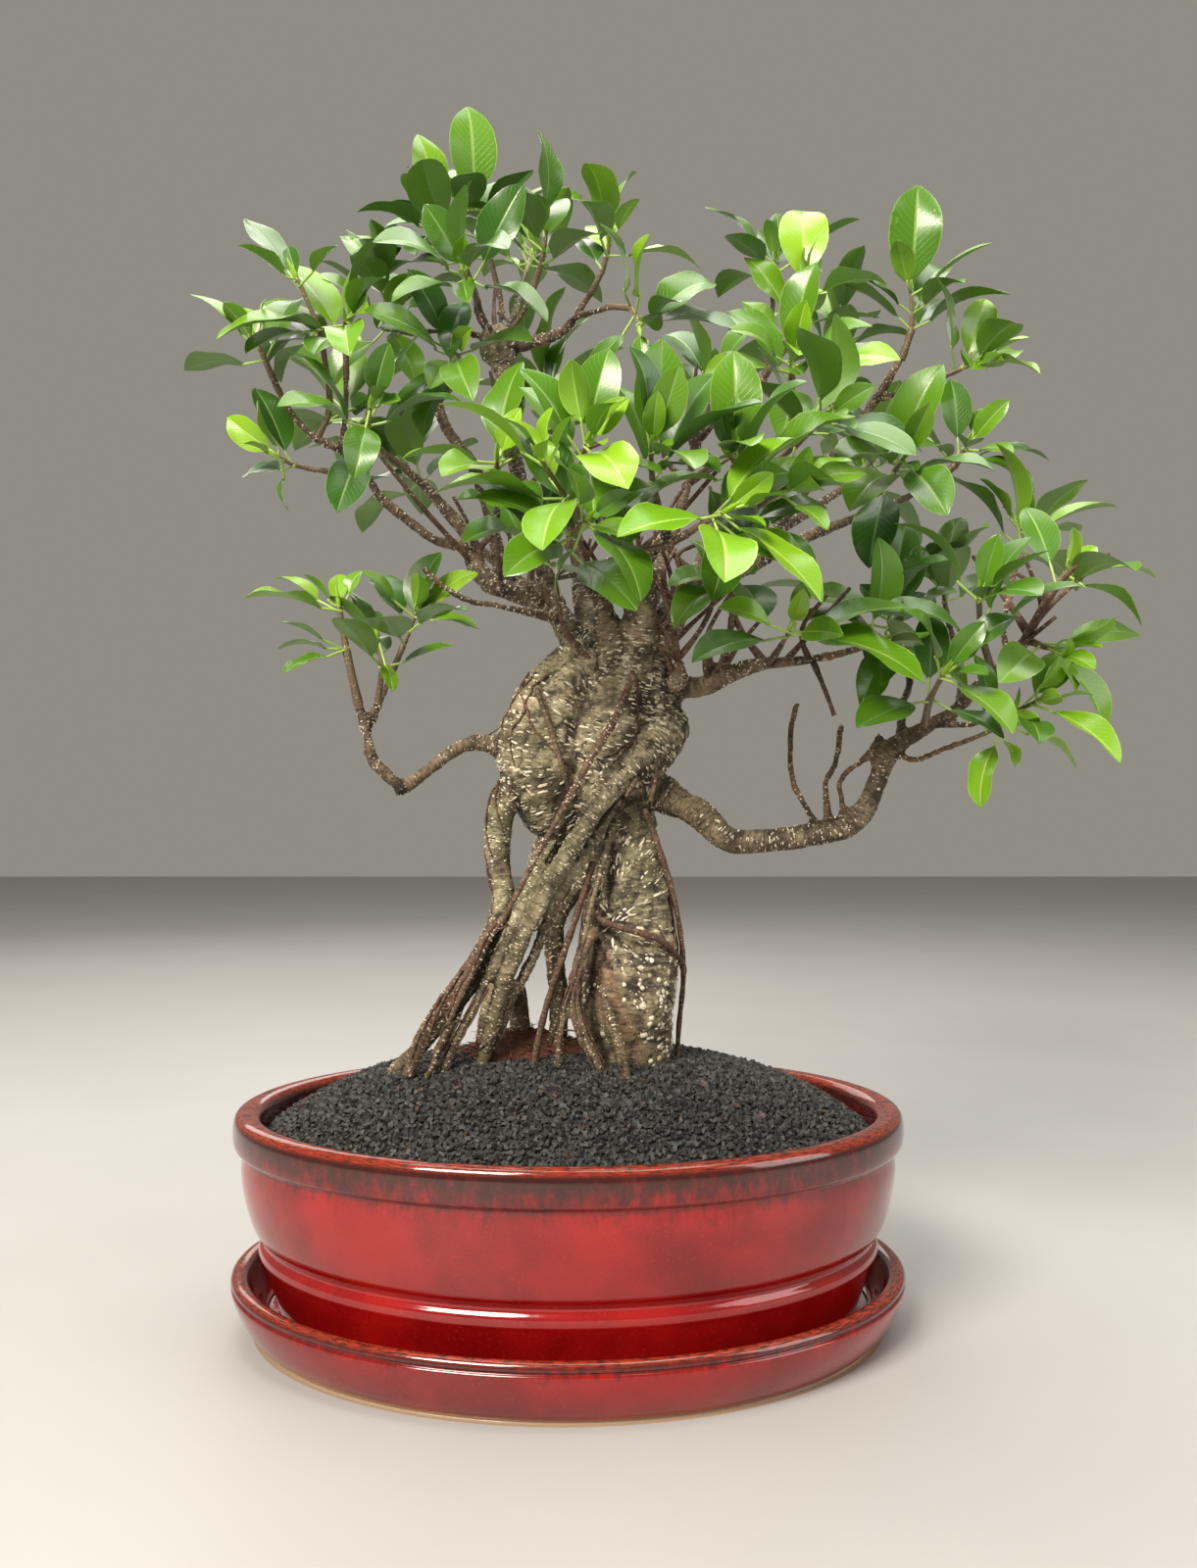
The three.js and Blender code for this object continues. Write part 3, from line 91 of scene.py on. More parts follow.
class Look:
    """A material as it is being made."""

    def __init__(self, name):
        self.material = bpy.data.materials.new(name)
        self.material.use_nodes = True
        self.tree = self.material.node_tree
        self.tree.nodes.clear()

    def node(self, kind, settings=None, inputs=None, out=0):
        made = self.tree.nodes.new(kind)
        for key, value in (settings or {}).items():
            setattr(made, key, value)
        for key, value in (inputs or {}).items():
            if isinstance(value, Wire):
                self.tree.links.new(value.socket, made.inputs[key])
            else:
                made.inputs[key].default_value = value
        if isinstance(out, tuple):
            return [Wire(self, made.outputs[name]) for name in out]
        return Wire(self, made.outputs[out])

    def place(self):
        return self.node("ShaderNodeTexCoord", out="Object")

    def parts(self, vector):
        return self.node("ShaderNodeSeparateXYZ", inputs={0: vector}, out=("X", "Y", "Z"))

    def vector(self, x, y, z):
        return self.node("ShaderNodeCombineXYZ", inputs={0: x, 1: y, 2: z})

    def stretched(self, vector, factors):
        return self.node("ShaderNodeVectorMath", {"operation": "MULTIPLY"}, {0: vector, 1: factors})

    def clouds(self, vector, scale, detail=3.0, roughness=0.55):
        values = {"Vector": vector, "Scale": scale, "Detail": detail, "Roughness": roughness}
        return self.node("ShaderNodeTexNoise", {}, values)

    def cells(self, vector, scale, feature="F1"):
        return self.node("ShaderNodeTexVoronoi", {"feature": feature}, {"Vector": vector, "Scale": scale},
                         out="Distance")

    def rise(self, value, low, high):
        """0 below low and 1 above high, with a soft step between."""
        values = {"Value": value, "From Min": low, "From Max": high}
        return self.node("ShaderNodeMapRange", {"interpolation_type": "SMOOTHSTEP"}, values)

    def mix(self, factor, one, other):
        colours = {0: factor, 6: one, 7: other}
        colours = {k: (*v, 1.0) if isinstance(v, tuple) else v for k, v in colours.items()}
        return self.node("ShaderNodeMix", {"data_type": "RGBA", "clamp_factor": True}, colours, out=2)

    def noted(self, name):
        """A number that the mesh holds for each of its points."""
        return self.node("ShaderNodeAttribute", {"attribute_name": name}, out="Fac")

    def bump(self, height, distance, strength=1.0):
        values = {"Height": height, "Distance": distance, "Strength": strength}
        return self.node("ShaderNodeBump", {}, values)

    def surface(self, **sockets):
        inputs = {name.replace("_", " "): value for name, value in sockets.items()}
        shader = self.node("ShaderNodeBsdfPrincipled", inputs=inputs)
        self.node("ShaderNodeOutputMaterial", inputs={"Surface": shader}, out=())
        return self.material


def add_piece(name, points, faces, material, replaced=(), noted=None, smooth=True):
    """One mesh piece, in metres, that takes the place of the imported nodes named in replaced."""
    mesh = bpy.data.meshes.new(name)
    mesh.from_pydata([tuple(p) for p in points], [], faces)
    for key, numbers in (noted or {}).items():
        mesh.attributes.new(key, "FLOAT", "POINT").data.foreach_set("value", numbers)
    mesh.polygons.foreach_set("use_smooth", [smooth] * len(mesh.polygons))
    mesh.materials.append(material)
    piece = bpy.data.objects.new(name, mesh)
    bpy.context.scene.collection.objects.link(piece)
    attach(piece, "root")
    if replaced:
        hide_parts(*replaced)
    return piece


def curve_through(points, finer):
    """Points of a smooth curve through the given ones, finer of them for each step."""
    rows = np.asarray(points, float)
    padded = np.vstack([2 * rows[0] - rows[1], rows, 2 * rows[-1] - rows[-2]])
    found = []
    for k in range(1, len(padded) - 2):
        a, b, c, d = padded[k - 1:k + 3]
        for step in range(finer):
            t = step / finer
            found.append(0.5 * (2 * b + (c - a) * t + (2 * a - 5 * b + 4 * c - d) * t**2
                                + (3 * b - a - 3 * c + d) * t**3))
    found.append(rows[-1])
    return np.array(found)


def closed_faces(rings, around):
    """Faces of a closed surface that has a first point, rings of points and a last point."""
    last = 1 + rings * around
    faces = []
    for k in range(around):
        after = (k + 1) % around
        faces.append((0, 1 + after, 1 + k))
        for ring in range(rings - 1):
            low = 1 + ring * around
            faces.append((low + k, low + after, low + around + after, low + around + k))
        faces.append((last - around + k, last - around + after, last))
    return faces


def oval_wall(profile, narrowing, finer=4, around=160):
    """Points and faces of a turned oval wall. The profile's first and last points are on the axis."""
    rim = curve_through(profile[1:-1], finer)
    points = [(0, 0, profile[0][1] * MM)]
    for radius, z in rim:
        for k in range(around):
            angle = 2 * math.pi * k / around
            points.append((radius * math.cos(angle) * MM, radius * narrowing * math.sin(angle) * MM, z * MM))
    points.append((0, 0, profile[-1][1] * MM))
    return points, closed_faces(len(rim), around)


def red_glaze(name, rim_z, run_length, foot_z):
    """Red glaze: brown where it thins over the rim, dark runs below the rim, a bare line at the foot."""
    look = Look(name)
    place = look.place()
    x, y, z = look.parts(place)
    angle = look.node("ShaderNodeMath", {"operation": "ARCTAN2"}, {0: y * OVAL_RATIO, 1: x})
    height = z / MM
    runs = look.clouds(look.vector(angle * 9.0, height * 0.03, 0.0), 3.0, 4.0, 0.7)
    fine_runs = look.clouds(look.vector(angle * 30.0, height * 0.05, 0.0), 3.0, 3.0, 0.6)
    pools = look.clouds(place, 22.0, 3.0)
    speckle = look.clouds(place, 900.0, 2.0)
    red = look.mix(look.rise(pools, 0.35, 0.68), *GLAZE_REDS)
    red = look.mix(look.rise(speckle, 0.56, 0.78) * 0.35, red, GLAZE_SPECKLE)
    run_end = height + (runs - 0.5) * run_length * 1.8
    reach = look.rise(run_end, rim_z - 1.1 * run_length, rim_z - 0.1 * run_length)
    dark = reach * look.rise(fine_runs + reach * 0.35, 0.40, 0.66)
    body = look.mix(dark * 0.94, red, GLAZE_RUN)
    top = look.rise(height, rim_z - 2.6, rim_z - 0.4)
    rings = look.clouds(look.vector(angle * 14.0, height * 1.3, 0.0), 2.0, 4.0, 0.65)
    rim = look.mix(look.rise(rings, 0.40, 0.62), *RIM_BROWNS)
    body = look.mix(top, body, rim)
    bare = 1.0 - look.rise(height, foot_z + 0.8, foot_z + 1.8)
    body = look.mix(bare, body, BARE_CLAY)
    crackle = look.cells(place, 420.0, "DISTANCE_TO_EDGE")
    lines = 1.0 - look.rise(crackle, 0.0, 0.05)
    body = look.mix(lines * 0.10, body, CRACKLE_LINE)
    soft = look.clouds(place, 60.0, 2.0)
    normal = look.bump(soft + speckle * 0.04, 0.0006, 0.35)
    rough = 0.10 + 0.05 * pools + 0.5 * bare
    return look.surface(Base_Color=body, Roughness=rough, Normal=normal, IOR=1.50, Coat_Weight=0.45,
                        Coat_Roughness=0.05)


half = SAUCER_LENGTH / 2
points, faces = oval_wall([
    (0, 0), (40, 0), (half - 16, 0), (half - 13.5, 0.4), (half - 9, 4), (half - 5.5, 8.5),
    (half - 3, 13), (half - 1.2, 17.5), (half - 0.4, 21), (half - 1.6, 22.3), (half - 0.3, 23.6),
    (half - 1, 25.4), (half - 3, SAUCER_RIM_Z), (half - 5.5, SAUCER_RIM_Z - 0.2), (half - 7.6, 25),
    (half - 9, 22), (half - 10.5, 18), (half - 14, 11), (half - 17, 8.8), (half - 20, SAUCER_FLOOR_Z),
    (40, SAUCER_FLOOR_Z), (0, SAUCER_FLOOR_Z),
], SAUCER_WIDTH / SAUCER_LENGTH)
glaze = red_glaze("saucer_red_glaze", SAUCER_RIM_Z, SAUCER_RUN_LENGTH, 0)
add_piece("saucer_glazed", points, faces, glaze, ["saucer"])

# The pot
# A stoneware bonsai pot: a foot ring, a bead and groove, a bulging wall, a collar and a wide rolled rim.
# It has the saucer's glaze, thicker, and two drainage holes through its floor.
POT_LENGTH = 302
POT_WIDTH = 221
POT_RIM_Z = 97
POT_FOOT_Z = 8.3
POT_UNDERSIDE_Z = 12
POT_FLOOR_Z = 19
POT_RUN_LENGTH = 22
DRAIN_HOLE_RADIUS = 6
DRAIN_HOLE_X = 58
DRILL_Z = (5, 25)

half = POT_LENGTH / 2
narrowing = POT_WIDTH / POT_LENGTH
points, faces = oval_wall([
    (0, POT_UNDERSIDE_Z), (30, POT_UNDERSIDE_Z), (half - 34, POT_UNDERSIDE_Z), (half - 33, 11.5),
    (half - 32.6, 9), (half - 31.5, POT_FOOT_Z), (half - 22.5, POT_FOOT_Z), (half - 21, 9.2),
    (half - 19.4, 14), (half - 17, 21), (half - 14.6, 28), (half - 12.6, 33), (half - 11.4, 35.5),
    (half - 11.6, 38.5), (half - 13.2, 40.4), (half - 13.2, 42.2), (half - 10.6, 45), (half - 8.3, 49.5),
    (half - 6, 57), (half - 4.2, 66), (half - 3.7, 73), (half - 4.4, 79), (half - 4.2, 80.6),
    (half - 1.2, 82.4), (half - 0.2, 85), (half, 89), (half - 0.4, 93), (half - 1.6, 95.6),
    (half - 4, 96.9), (half - 6.5, POT_RIM_Z), (half - 9.4, 96.6), (half - 11.6, 95.2), (half - 12.9, 92.5),
    (half - 13.6, 88), (half - 14.6, 80), (half - 17, 56), (half - 28, 22), (half - 31, POT_FLOOR_Z),
    (30, POT_FLOOR_Z), (0, POT_FLOOR_Z),
], narrowing)
glaze = red_glaze("pot_red_glaze", POT_RIM_Z - 1, POT_RUN_LENGTH, POT_FOOT_Z)
pot = add_piece("pot_glazed", points, faces, glaze, ["pot"])


def band(low, around):
    """Faces between the ring of points that starts at low and the ring after it."""
    for k in range(around):
        after = (k + 1) % around
        yield low + k, low + after, low + around + after, low + around + k


def round_bar(centres, radii, sides):
    """Points and faces of a round bar through the given centres, closed at both ends."""
    centres = np.asarray(centres, float)
    ways = np.gradient(centres, axis=0)
    ways /= np.linalg.norm(ways, axis=1)[:, None]
    side = np.cross((0, 1, 0), ways[0])
    if np.linalg.norm(side) < 0.3:
        side = np.cross((1, 0, 0), ways[0])
    angles = np.linspace(0, 2 * math.pi, sides, endpoint=False)
    rings = []
    for centre, way, radius in zip(centres, ways, radii):
        side = side - way * side.dot(way)
        side /= np.linalg.norm(side)
        up = np.cross(way, side)
        rings.append(centre + radius * (np.outer(np.cos(angles), side) + np.outer(np.sin(angles), up)))
    faces = []
    for ring in range(len(centres) - 1):
        faces.extend(band(ring * sides, sides))
    last = (len(centres) - 1) * sides
    faces.append(tuple(reversed(range(sides))))
    faces.append(tuple(range(last, last + sides)))
    return np.vstack(rings), faces


def worked(mesh_object, modifiers):
    """The mesh that an object has once its modifiers, given as (kind, settings), are worked in."""
    for kind, settings in modifiers:
        modifier = mesh_object.modifiers.new(kind, kind)
        for key, value in settings.items():
            setattr(modifier, key, value)
    shown = mesh_object.evaluated_get(bpy.context.evaluated_depsgraph_get())
    mesh = bpy.data.meshes.new_from_object(shown)
    mesh_object.modifiers.clear()
    return mesh


def draft(name, points, faces):
    """A mesh that is only used to make another one."""
    mesh = bpy.data.meshes.new(name)
    mesh.from_pydata([tuple(p) for p in points], [], faces)
    made = bpy.data.objects.new(name, mesh)
    bpy.context.scene.collection.objects.link(made)
    return made


for x in (-DRAIN_HOLE_X, DRAIN_HOLE_X):
    ends = [(x * MM, 0, z * MM) for z in DRILL_Z]
    drill = draft("drill", *round_bar(ends, [DRAIN_HOLE_RADIUS * MM] * 2, 32))
    pot.data = worked(pot, [("BOOLEAN", {"operation": "DIFFERENCE", "object": drill, "solver": "EXACT"})])
    bpy.data.objects.remove(drill)

# The drain screens
# A square of black plastic mesh lies over each drainage hole and keeps the soil in.
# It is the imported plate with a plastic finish.
SCREEN_BLACKS = (0.010, 0.012, 0.011), (0.035, 0.038, 0.034)


def screen_plastic():
    look = Look("screen_plastic")
    weave = look.clouds(look.place(), 1500.0, 2.0)
    colour = look.mix(weave, *SCREEN_BLACKS)
    return look.surface(Base_Color=colour, Roughness=0.45 + 0.2 * weave, Normal=look.bump(weave, 0.0002))


plastic = screen_plastic()
for name in ("drain_screen_left", "drain_screen_right"):
    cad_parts[name].data.materials.clear()
    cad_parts[name].data.materials.append(plastic)

# The soil
# A mound of black lava gravel that fills the pot and rises to the foot of the trunk.
# The grains are broken stone of about 2 to 3 mm, with a few rusty ones among them.
SOIL_EDGE_Z = 86
SOIL_RISE = 33
SOIL_ROUNDNESS = 3.2
SOIL_INSET = 14.2
MOUND_BELOW_GRAINS = 1.2
MOUND_BOTTOM_Z = POT_FLOOR_Z + 2.5
MOUND_SIDES = ((3.4, 56), (15.4, MOUND_BOTTOM_Z))
GRAIN_SPACING = 1.95
ROW_SPACING = 0.87
GRAIN_SHIFT = 0.4
GRAIN_EDGE = 0.6
GRAIN_SIZE = (0.95, 1.85)
GRAIN_FLATNESS = np.array([1.0, 0.8, 0.6])
GRAIN_CORNERS = (0.42, 0.95)
GRAIN_LIFT = (-0.9, 0.35)
GRAIN_POINTS = np.array([(x, y, z) for z in (-1, 1) for y in (-1, 1) for x in (-1, 1)], float)
GRAIN_FACES = [(0, 2, 3, 1), (4, 5, 7, 6), (0, 1, 5, 4), (2, 6, 7, 3), (0, 4, 6, 2), (1, 3, 7, 5)]
RUSTY_SHARE = 0.012
LAVA_BLACKS = (0.003, 0.003, 0.003), (0.066, 0.062, 0.058)
LAVA_RUST = (0.075, 0.036, 0.020)
soil_half = POT_LENGTH / 2 - SOIL_INSET


def soil_height(x, y):
    across = min(1.0, math.hypot(x / soil_half, y / (soil_half * narrowing)))
    return SOIL_EDGE_Z + SOIL_RISE * (1 - across**SOIL_ROUNDNESS)


def turned_over(faces):
    """Faces that look the other way, each still from its first corner."""
    return [(face[0], *face[:0:-1]) for face in faces]


def gravel_mound(rings=40, around=112):
    """The mound under the grains, closed below."""
    points = [(0, 0, (soil_height(0, 0) - MOUND_BELOW_GRAINS) * MM)]
    angles = [2 * math.pi * k / around for k in range(around)]
    for ring in range(1, rings + 1):
        for angle in angles:
            x = soil_half * ring / rings * math.cos(angle)
            y = soil_half * narrowing * ring / rings * math.sin(angle)
            points.append((x * MM, y * MM, (soil_height(x, y) - MOUND_BELOW_GRAINS) * MM))
    for inset, z in MOUND_SIDES:
        radius = soil_half - inset
        for angle in angles:
            points.append((radius * math.cos(angle) * MM, radius * narrowing * math.sin(angle) * MM, z * MM))
    points.append((0, 0, MOUND_BOTTOM_Z * MM))
    return points, turned_over(closed_faces(rings + len(MOUND_SIDES), around))


def scattered(step, rng):
    """Places of an uneven triangular grid over the mound's oval, in mm."""
    soil_half_width = soil_half * narrowing
    for row in range(int(2 * soil_half_width / (step * ROW_SPACING)) + 1):
        y = row * step * ROW_SPACING - soil_half_width
        for column in range(int(2 * soil_half / step) + 2):
            x = (column + 0.5 * (row % 2)) * step - soil_half
            spot_x = x + rng.uniform(-GRAIN_SHIFT, GRAIN_SHIFT) * step
            spot_y = y + rng.uniform(-GRAIN_SHIFT, GRAIN_SHIFT) * step
            if math.hypot(spot_x / (soil_half - GRAIN_EDGE), spot_y / (soil_half_width - GRAIN_EDGE)) < 1:
                yield spot_x, spot_y


def join(points, faces, more_points, more_faces):
    """Adds one mesh's points and faces to those of another."""
    first = len(points)
    points.extend(more_points)
    faces.extend(tuple(corner + first for corner in face) for face in more_faces)


def lava_gravel():
    """Black broken stone with fine pores, each grain as dark as its noted tone."""
    look = Look("lava_gravel")
    place = look.place()
    pores = look.clouds(place, 1400.0, 3.0, 0.7)
    colour = look.mix(look.noted("tone") * 0.75 + pores * 0.25, *LAVA_BLACKS)
    colour = look.mix(look.noted("rust"), colour, LAVA_RUST)
    return look.surface(Base_Color=colour, Roughness=0.38 + 0.35 * pores,
                        Normal=look.bump(pores, 0.0004, 0.8))


rng = np.random.default_rng(11)
points, faces = gravel_mound()
tones = [0.25] * len(points)
rust = [0.0] * len(points)
for x, y in scattered(GRAIN_SPACING, rng):
    size = rng.uniform(*GRAIN_SIZE)
    turn = np.linalg.qr(rng.normal(size=(3, 3)))[0]
    if np.linalg.det(turn) < 0:
        turn[0] *= -1
    shape = GRAIN_POINTS * rng.uniform(*GRAIN_CORNERS, (8, 3)) * GRAIN_FLATNESS * size
    z = soil_height(x, y) + rng.uniform(*GRAIN_LIFT)
    join(points, faces, (shape @ turn + (x, y, z)) * MM, GRAIN_FACES)
    tones.extend([rng.uniform(0.0, 1.0) ** 1.6] * 8)
    rust.extend([1.0 if rng.random() < RUSTY_SHARE else 0.0] * 8)
add_piece("lava_gravel", points, faces, lava_gravel(), ["gravel_soil"],
          {"tone": tones, "rust": rust}, smooth=False)

# The root ball
# Reddish brown fibrous peat of the tree's old root ball shows above the gravel between the roots.
# It holds fine roots that stick out of it as threads.
PEAT_CENTRE = (-22, 8)
PEAT_SIZE = (66, 50)
PEAT_RISE = 11
PEAT_DEPTH = 4
PEAT_SUNK = 1.0
PEAT_THREADS = 900
PEAT_THREAD_LENGTH = (2.5, 9.0)
PEAT_THREAD_RADIUS = (0.12, 0.34)
PEAT_BROWNS = (0.030, 0.009, 0.005), (0.20, 0.070, 0.030)
PEAT_CRUMB = (0.085, 0.026, 0.012)


def peat_crown(share, angle):
    """A point of the crown's surface, in mm, at a share of the way out from its middle."""
    uneven = share * (1 + 0.12 * math.sin(3 * angle + 1))
    x = PEAT_CENTRE[0] + PEAT_SIZE[0] / 2 * uneven * math.cos(angle)
    y = PEAT_CENTRE[1] + PEAT_SIZE[1] / 2 * uneven * math.sin(angle)
    rough = noise.noise(Vector((x * 0.35, y * 0.35, 3.0))) * 1.6 + noise.noise(Vector((x, y, 7.0))) * 0.9
    crown = soil_height(x, y) + PEAT_RISE * (1 - share**1.6) - PEAT_SUNK
    return Vector((x, y, crown + rough * (1 - share**6)))


def peat_body(rings=26, around=96):
    """The crown, with a flat underside that lies below the gravel."""
    points = [peat_crown(0, 0) * MM]
    for ring in range(1, rings + 1):
        for k in range(around):
            points.append(peat_crown(ring / rings, 2 * math.pi * k / around) * MM)
    for k in range(around):
        points.append(peat_crown(1, 2 * math.pi * k / around) * MM - Vector((0, 0, PEAT_DEPTH * MM)))
    faces = [(0, 1 + k, 1 + (k + 1) % around) for k in range(around)]
    for ring in range(rings):
        faces.extend(turned_over(band(1 + ring * around, around)))
    faces.append(tuple(reversed(range(1 + rings * around, 1 + (rings + 1) * around))))
    return points, faces


def peat_thread(rng):
    """Points and faces of one fine root that bends as it leaves the peat."""
    start = peat_crown(math.sqrt(rng.random()) * 0.97, rng.uniform(0, 2 * math.pi))
    way = Vector((rng.normal(), rng.normal(), rng.uniform(-0.35, 0.55))).normalized()
    bend = Vector((rng.normal(), rng.normal(), rng.uniform(-0.6, 0.2))) * 0.35
    length = rng.uniform(*PEAT_THREAD_LENGTH)
    start_inside = start - Vector((0, 0, 0.8))
    route = [start_inside + way * length * s + bend * length * s * s for s in (0, 0.35, 0.7, 1)]
    radius = rng.uniform(*PEAT_THREAD_RADIUS) * MM
    return round_bar([p * MM for p in route], [radius, radius, radius * 0.8, radius * 0.3], 4)


def fibrous_peat():
    look = Look("fibrous_peat")
    crumbs = look.clouds(look.place(), 500.0, 4.0, 0.7)
    colour = look.mix(look.noted("paleness"), *PEAT_BROWNS)
    colour = look.mix(crumbs * 0.6, colour, PEAT_CRUMB)
    return look.surface(Base_Color=colour, Roughness=0.9, Normal=look.bump(crumbs, 0.0008, 0.9))


rng = np.random.default_rng(23)
points, faces = peat_body()
paleness = [0.3] * len(points)
for _ in range(PEAT_THREADS):
    more, sides = peat_thread(rng)
    join(points, faces, more, sides)
    paleness.extend([rng.random()] * len(more))
add_piece("fibrous_root_ball", points, faces, fibrous_peat(), ["root_ball_peat"],
          {"paleness": paleness})

# The wood
# The trunk is a lattice of thick roots that have grown together, with limbs above them.
# Their smooth bark is grey and olive brown, wrinkled across at the bends, under rows of corky pores.
# Each route is traced: [x, y, z, radius] in mm, in order from where the root or limb starts.
ROOTS = {
    "trunk_left": [[9, 5, 302, 13.5], [-3, 2, 285, 17.5], [-11, 0, 267, 20.5], [-13, 0, 249, 20.5],
                   [-9, 4, 233, 15], [-3, 10, 217, 10]],
    "trunk_middle": [[27, 8, 309, 14.5], [27, 6, 292, 20], [22, 6, 271, 25.5], [16, 8, 251, 25],
                     [14, 12, 231, 20], [16, 14, 212, 14.5], [19, 14, 194, 11]],
    "crown_bulge": [[39, 4, 281, 10], [42, -4, 268, 12.5], [37, -8, 256, 11], [26, -8, 246, 9]],
    "great_root": [[44, -4, 271, 10.5], [40, -10, 262, 10.5], [31, -16, 252, 8.5], [20, -20, 243, 6.5],
                   [11, -24, 229, 5], [2, -28, 215, 4.5], [-7, -30, 200, 4.5], [-14, -32, 186, 4],
                   [-22, -31, 170, 4], [-28, -28, 155, 4], [-32, -25, 141, 4], [-36, -22, 127, 3.5],
                   [-40, -18, 108, 3.5]],
    "grey_root": [[25, -6, 240, 4], [17, -14, 227, 3.5], [9, -20, 213, 3.5], [-1, -24, 197, 3],
                  [-9, -26, 181, 3], [-16, -25, 164, 3], [-24, -22, 149, 3], [-31, -18, 133, 3.5],
                  [-40, -10, 118, 3.5], [-49, -2, 103, 3.5]],
    "front_thread": [[29, -22, 291, 2], [21, -30, 271, 2], [12, -35, 256, 2], [4, -37, 241, 2],
                     [-5, -39, 225, 2], [-13, -41, 211, 2], [-19, -43, 199, 2], [-26, -42, 186, 2],
                     [-34, -38, 174, 2], [-42, -36, 158, 2], [-50, -34, 141, 2], [-56, -32, 126, 2],
                     [-62, -30, 111, 2]],
    "slender_root": [[20, -4, 229, 2], [15, -18, 206, 2], [10, -28, 188, 1.5], [6, -32, 170, 1.5],
                     [2, -33, 156, 1.5], [-2, -32, 140, 1.5], [-6, -28, 108, 2]],
    "left_leg": [[-21, -4, 246, 10], [-30, -8, 232, 6.5], [-32, -10, 217, 6], [-31, -10, 203, 5.5],
                 [-29, -12, 191, 5], [-31, -15, 177, 4.5], [-38, -18, 160, 4], [-50, -18, 144, 4],
                 [-64, -15, 127, 3.5], [-77, -12, 114, 3.5], [-85, -10, 102, 3]],
    "left_leg_twin": [[-30, -6, 195, 4], [-36, 2, 175, 3.5], [-47, 6, 152, 3], [-54, 8, 133, 3],
                      [-65, 12, 110, 3], [-69, 12, 96, 3]],
    "dark_root": [[-32, -20, 182, 3], [-41, -28, 165, 3], [-54, -32, 147, 3], [-63, -32, 131, 3.5],
                  [-70, -30, 114, 3]],
    "middle_root": [[12, 13, 208, 6.5], [-5, 4, 183, 5], [-7, 2, 168, 4.5], [-6, 2, 154, 4.5],
                    [-4, 2, 142, 4.5], [-6, 2, 122, 4.5], [-8, 2, 100, 4.5]],
    "pale_stump": [[-27, -18, 154, 3.5], [-24, 2, 144, 4.5], [-23, 10, 124, 5], [-23, 8, 104, 5.5]],
    "right_leg": [[22, 4, 237, 12], [28, 2, 220, 11.5], [30, -2, 198, 15], [30, -5, 180, 18.5],
                  [29, -7, 165, 20.5], [27, -8, 148, 21.5], [27, -8, 131, 20], [29, -8, 117, 17.5],
                  [30, -8, 107, 14.5], [31, -8, 94, 13]],
    "wrap_root": [[11, -20, 184, 1.5], [18, -30, 181, 1.5], [29, -33, 178, 1.5], [41, -26, 173, 1.5],
                  [50, -9, 163, 1.5], [53, 4, 156, 1.5]],
    "strand_high": [[-6, -20, 217, 2.5], [-13, -26, 204, 2.5], [-21, -30, 188, 2.5], [-28, -32, 173, 2.5],
                    [-35, -31, 157, 2.5], [-43, -29, 141, 2.5], [-51, -27, 126, 2.5],
                    [-58, -24, 107, 2.5]],
    "strand_thin": [[11, -16, 207, 1.5], [5, -24, 188, 1.5], [-1, -27, 170, 1.5], [-7, -27, 152, 1.5],
                    [-12, -24, 134, 1.5], [-17, -18, 106, 1.5]],
    "foot_root": [[14, -34, 155, 2], [19, -40, 141, 2], [24, -42, 126, 2], [27, -40, 109, 2]],
    "fold_root": [[11, -16, 178, 3], [5, -28, 163, 2.5], [3, -32, 148, 2.5], [7, -34, 133, 2.5],
                  [13, -34, 121, 2], [17, -32, 108, 2]],
    "back_left_root": [[1, 26, 243, 12], [-11, 46, 209, 8.5], [-23, 58, 179, 7.5], [-34, 68, 151, 6.5],
                       [-43, 74, 125, 5.5], [-49, 78, 91, 4.5]],
    "back_right_root": [[27, 26, 243, 11], [35, 46, 205, 9], [37, 58, 169, 7.5], [39, 66, 139, 6],
                        [43, 72, 112, 5], [45, 76, 86, 4]],
    "back_middle_root": [[13, 28, 229, 10.5], [14, 46, 185, 8], [10, 56, 152, 6.5], [8, 62, 124, 5.5],
                         [6, 68, 88, 5]],
}
